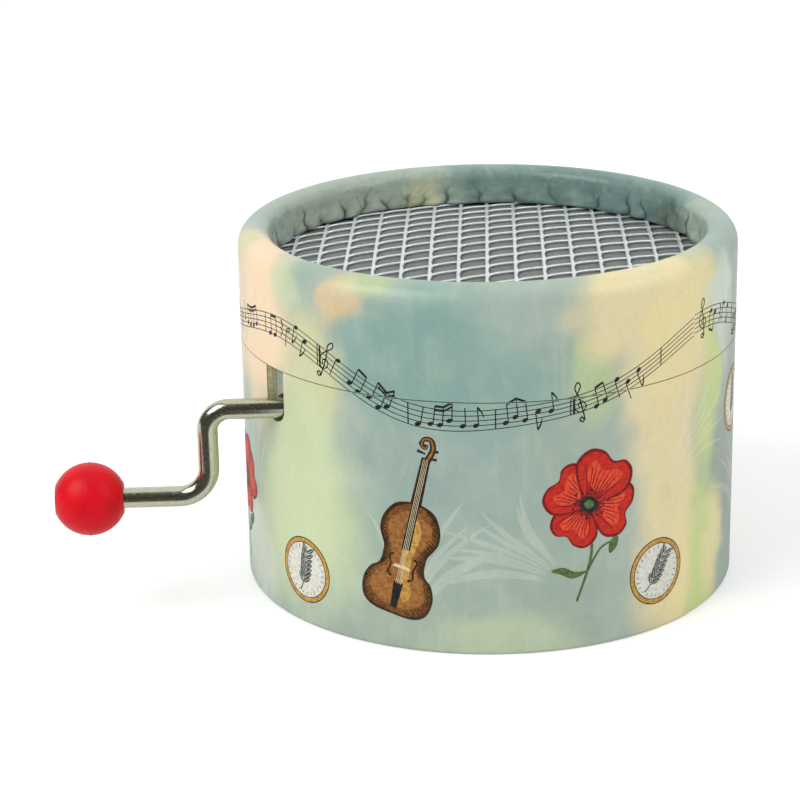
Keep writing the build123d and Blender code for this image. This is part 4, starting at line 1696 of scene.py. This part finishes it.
def wrap_ink(name, levels):
    """All the ink of one colour on one half of the drum, from its flat faces on each layer."""
    sheet = bmesh.new()
    for layer, faces in levels.items():
        for outline in faces:
            for part in in_strips(outline):
                lay_on_paper(sheet, part, layer)
    bmesh.ops.remove_doubles(sheet, verts=sheet.verts, dist=weld_reach)
    mesh = bpy.data.meshes.new(name)
    sheet.to_mesh(mesh)
    sheet.free()
    piece = bpy.data.objects.new(name, mesh)
    bpy.context.scene.collection.objects.link(piece)
    thick = piece.modifiers.new("thickness", "SOLIDIFY")
    thick.thickness = ink_thickness
    thick.offset = -1
    return piece


print("layers of ink", round(1000 * layer_lift / MM, 1), "thousandths of a mm apart")

# %% [markdown]
# ## Inks
#
# Ink soaks in unevenly, so each colour wavers between two tones and lets a little of the
# paper's grain through.

# %% Inks
def ink_finish(name, code, deep_code):
    """Printing ink that wavers between two tones."""
    material, tree, shader = new_finish("ink_" + name, 0.45)
    uneven = grain(tree, 0.5 * MM, detail=5.0, distortion=0.5)
    dots = grain(tree, 0.12 * MM, detail=2.0)
    paint = stained(tree, colour(code), colour(deep_code), uneven, 0.35, 0.68)
    paint = stained(tree, paint, colour(deep_code), dots, 0.5, 0.75, 0.3)
    tree.links.new(paint, shader.inputs["Base Color"])
    shader.inputs["Specular IOR Level"].default_value = 0.25
    raised(tree, shader, dots, 0.01 * MM)
    return material


inks = {"veil": pale_veil}
for ink, code, deep_code in (
    # the edge ink is a painted highlight for the step where the paper overlaps
    ("edge", "ddd8b2", "c9c49c"),
    ("dark", "2b2c2a", "141413"),
    ("umber", "4a2f17", "2a190b"),
    ("chestnut", "8a5a2a", "633a17"),
    ("amber", "a9733a", "865323"),
    ("gold", "cfa552", "a87a2f"),
    ("cream", "e4d7b0", "cdbd92"),
    ("ivory", "e6e4d6", "cfcfc4"),
    ("slate", "5f6362", "3d403f"),
    ("crimson", "8f1410", "5e0b0a"),
    ("scarlet", "d22a17", "b01d10"),
    ("coral", "ea5233", "d43a20"),
    ("stem", "5d7a45", "41582f"),
):
    inks[ink] = ink_finish(ink, code, deep_code)
print(len(inks), "inks mixed")

# %% Print both halves
halves = (
    ("upper", "upper_half", lid_floor / MM + 0.05, (drum_top - rim_outer_round) / MM - 0.2),
    ("lower", "root", 1.2, seam_height / MM - 0.05),
)
for half, body, bottom, top in halves:
    levels_of = {}
    for (ink, layer), faces in sheets.items():
        cut_faces = [clipped(clipped(face, 1, bottom, True), 1, top, False) for face in faces]
        kept = [face for face in cut_faces if len(face) > 2]
        if kept:
            levels_of.setdefault(ink, {})[layer] = kept
    for ink, levels in levels_of.items():
        piece = wrap_ink(f"{half}_{ink}", levels)
        dress(piece, inks[ink], body, "printed_paper")
        print(half, ink, len(piece.data.polygons), "faces")

# %% [markdown]
# ## Floor, world and lamps
#
# The drum stands on a white table in a white room. The floor is plain white, shows the
# drum's shadow and looks white itself to the camera. The lamps reach its middle most, so its
# far part glows a little more. The world lights evenly. One large lamp from the upper left
# gives the form its soft shading, and a weaker one from the right fills it. Polished metal
# needs something dark to mirror, so for glossy rays alone the room has a dark side to the
# left of the camera, and so has the table in front of the crank.

# %% Floor
white = (0.8, 0.8, 0.8, 1)
unlit = (0.07, 0.062, 0.055, 1)
floor_reach = 3


def floor_finish():
    """White that glows a little to the camera, with a dark part for glossy rays alone."""
    material, tree, shader = new_finish("floor_white", 0.9)
    shader.inputs["Specular IOR Level"].default_value = 0.0
    seen = put(tree, "LightPath")
    spot = put(tree, "TexCoord").outputs["Object"]
    place = put(tree, "SeparateXYZ")
    tree.links.new(spot, place.inputs[0])
    slanted = put(tree, "Math", operation="MULTIPLY_ADD")
    tree.links.new(place.outputs["Y"], slanted.inputs[0])
    slanted.inputs[1].default_value = 0.1
    tree.links.new(place.outputs["X"], slanted.inputs[2])
    in_front = ramped(tree, place.outputs["Y"], -40 * MM, -50 * MM)
    on_the_left = ramped(tree, slanted.outputs[0], -24 * MM, -36 * MM)
    mirrored = product(tree, product(tree, in_front, on_the_left), seen.outputs["Is Glossy Ray"])
    tree.links.new(mixed(tree, mirrored, white, unlit), shader.inputs["Base Color"])
    glow = ramped(tree, length_of(tree, spot), 0.3, 0.9, 0.32, 0.55)
    shader.inputs["Emission Color"].default_value = (1, 1, 1, 1)
    lift = product(tree, seen.outputs["Is Camera Ray"], glow)
    tree.links.new(lift, shader.inputs["Emission Strength"])
    return material


floor_mesh = bpy.data.meshes.new("floor")
corners = [(-1, -1), (1, -1), (1, 1), (-1, 1)]
floor_points = [(floor_reach * x, floor_reach * y, 0) for x, y in corners]
floor_mesh.from_pydata(floor_points, [], [(0, 1, 2, 3)])
floor_mesh.materials.append(floor_finish())
floor = bpy.data.objects.new("floor", floor_mesh)
bpy.context.scene.collection.objects.link(floor)
print("floor ready")

# %% World
def room_light():
    """Even white light, white behind the object, and a dark side for glossy rays."""
    world = bpy.data.worlds.new("white_room")
    bpy.context.scene.world = world
    world.use_nodes = True
    tree = world.node_tree
    tree.nodes.clear()
    direction = put(tree, "TexCoord").outputs["Generated"]
    dark_side = Matrix.Rotation(math.radians(-38), 3, "Z") @ Vector((0, -1, 0))
    facing = put(tree, "VectorMath", operation="DOT_PRODUCT")
    tree.links.new(direction, facing.inputs[0])
    facing.inputs[1].default_value = dark_side
    height = put(tree, "SeparateXYZ")
    tree.links.new(direction, height.inputs[0])
    wide = ramped(tree, facing.outputs["Value"], 0.0, 0.12)
    above = ramped(tree, height.outputs["Z"], 0.99, 0.94)
    dark = product(tree, wide, above)
    mirrored = mixed(tree, dark, (0.9, 0.92, 0.9, 1), (0.05, 0.045, 0.04, 1))
    rays = put(tree, "LightPath")
    tone = mixed(tree, rays.outputs["Is Glossy Ray"], (0.72, 0.73, 0.74, 1), mirrored)
    tone = mixed(tree, rays.outputs["Is Camera Ray"], tone, (1, 1, 1, 1))
    background = put(tree, "Background")
    tree.links.new(tone, background.inputs["Color"])
    tree.links.new(background.outputs[0], put(tree, "OutputWorld").inputs[0])


room_light()
print("world ready")

# %% Lamps
def soft_lamp(name, azimuth, elevation, distance, size, watts):
    """A square lamp that looks at the drum, placed by its angles as seen from the front."""
    lamp = bpy.data.objects.new(name, bpy.data.lights.new(name, "AREA"))
    bpy.context.scene.collection.objects.link(lamp)
    lamp.data.shape = "SQUARE"
    lamp.data.size = size
    lamp.data.energy = watts
    turn = math.radians(azimuth)
    rise = math.radians(elevation)
    level = math.cos(rise)
    back = Vector((math.sin(turn) * level, -math.cos(turn) * level, math.sin(rise)))
    lamp.location = Vector((0, 0, drum_top / 2)) + back * distance
    lamp.rotation_mode = "QUATERNION"
    lamp.rotation_quaternion = (-back).to_track_quat("-Z", "Y")
    return lamp


soft_lamp("left_lamp", -60, 45, 0.8, 0.5, 3.0)
soft_lamp("right_lamp", 70, 35, 0.9, 0.5, 1.2)
print("lamps ready")
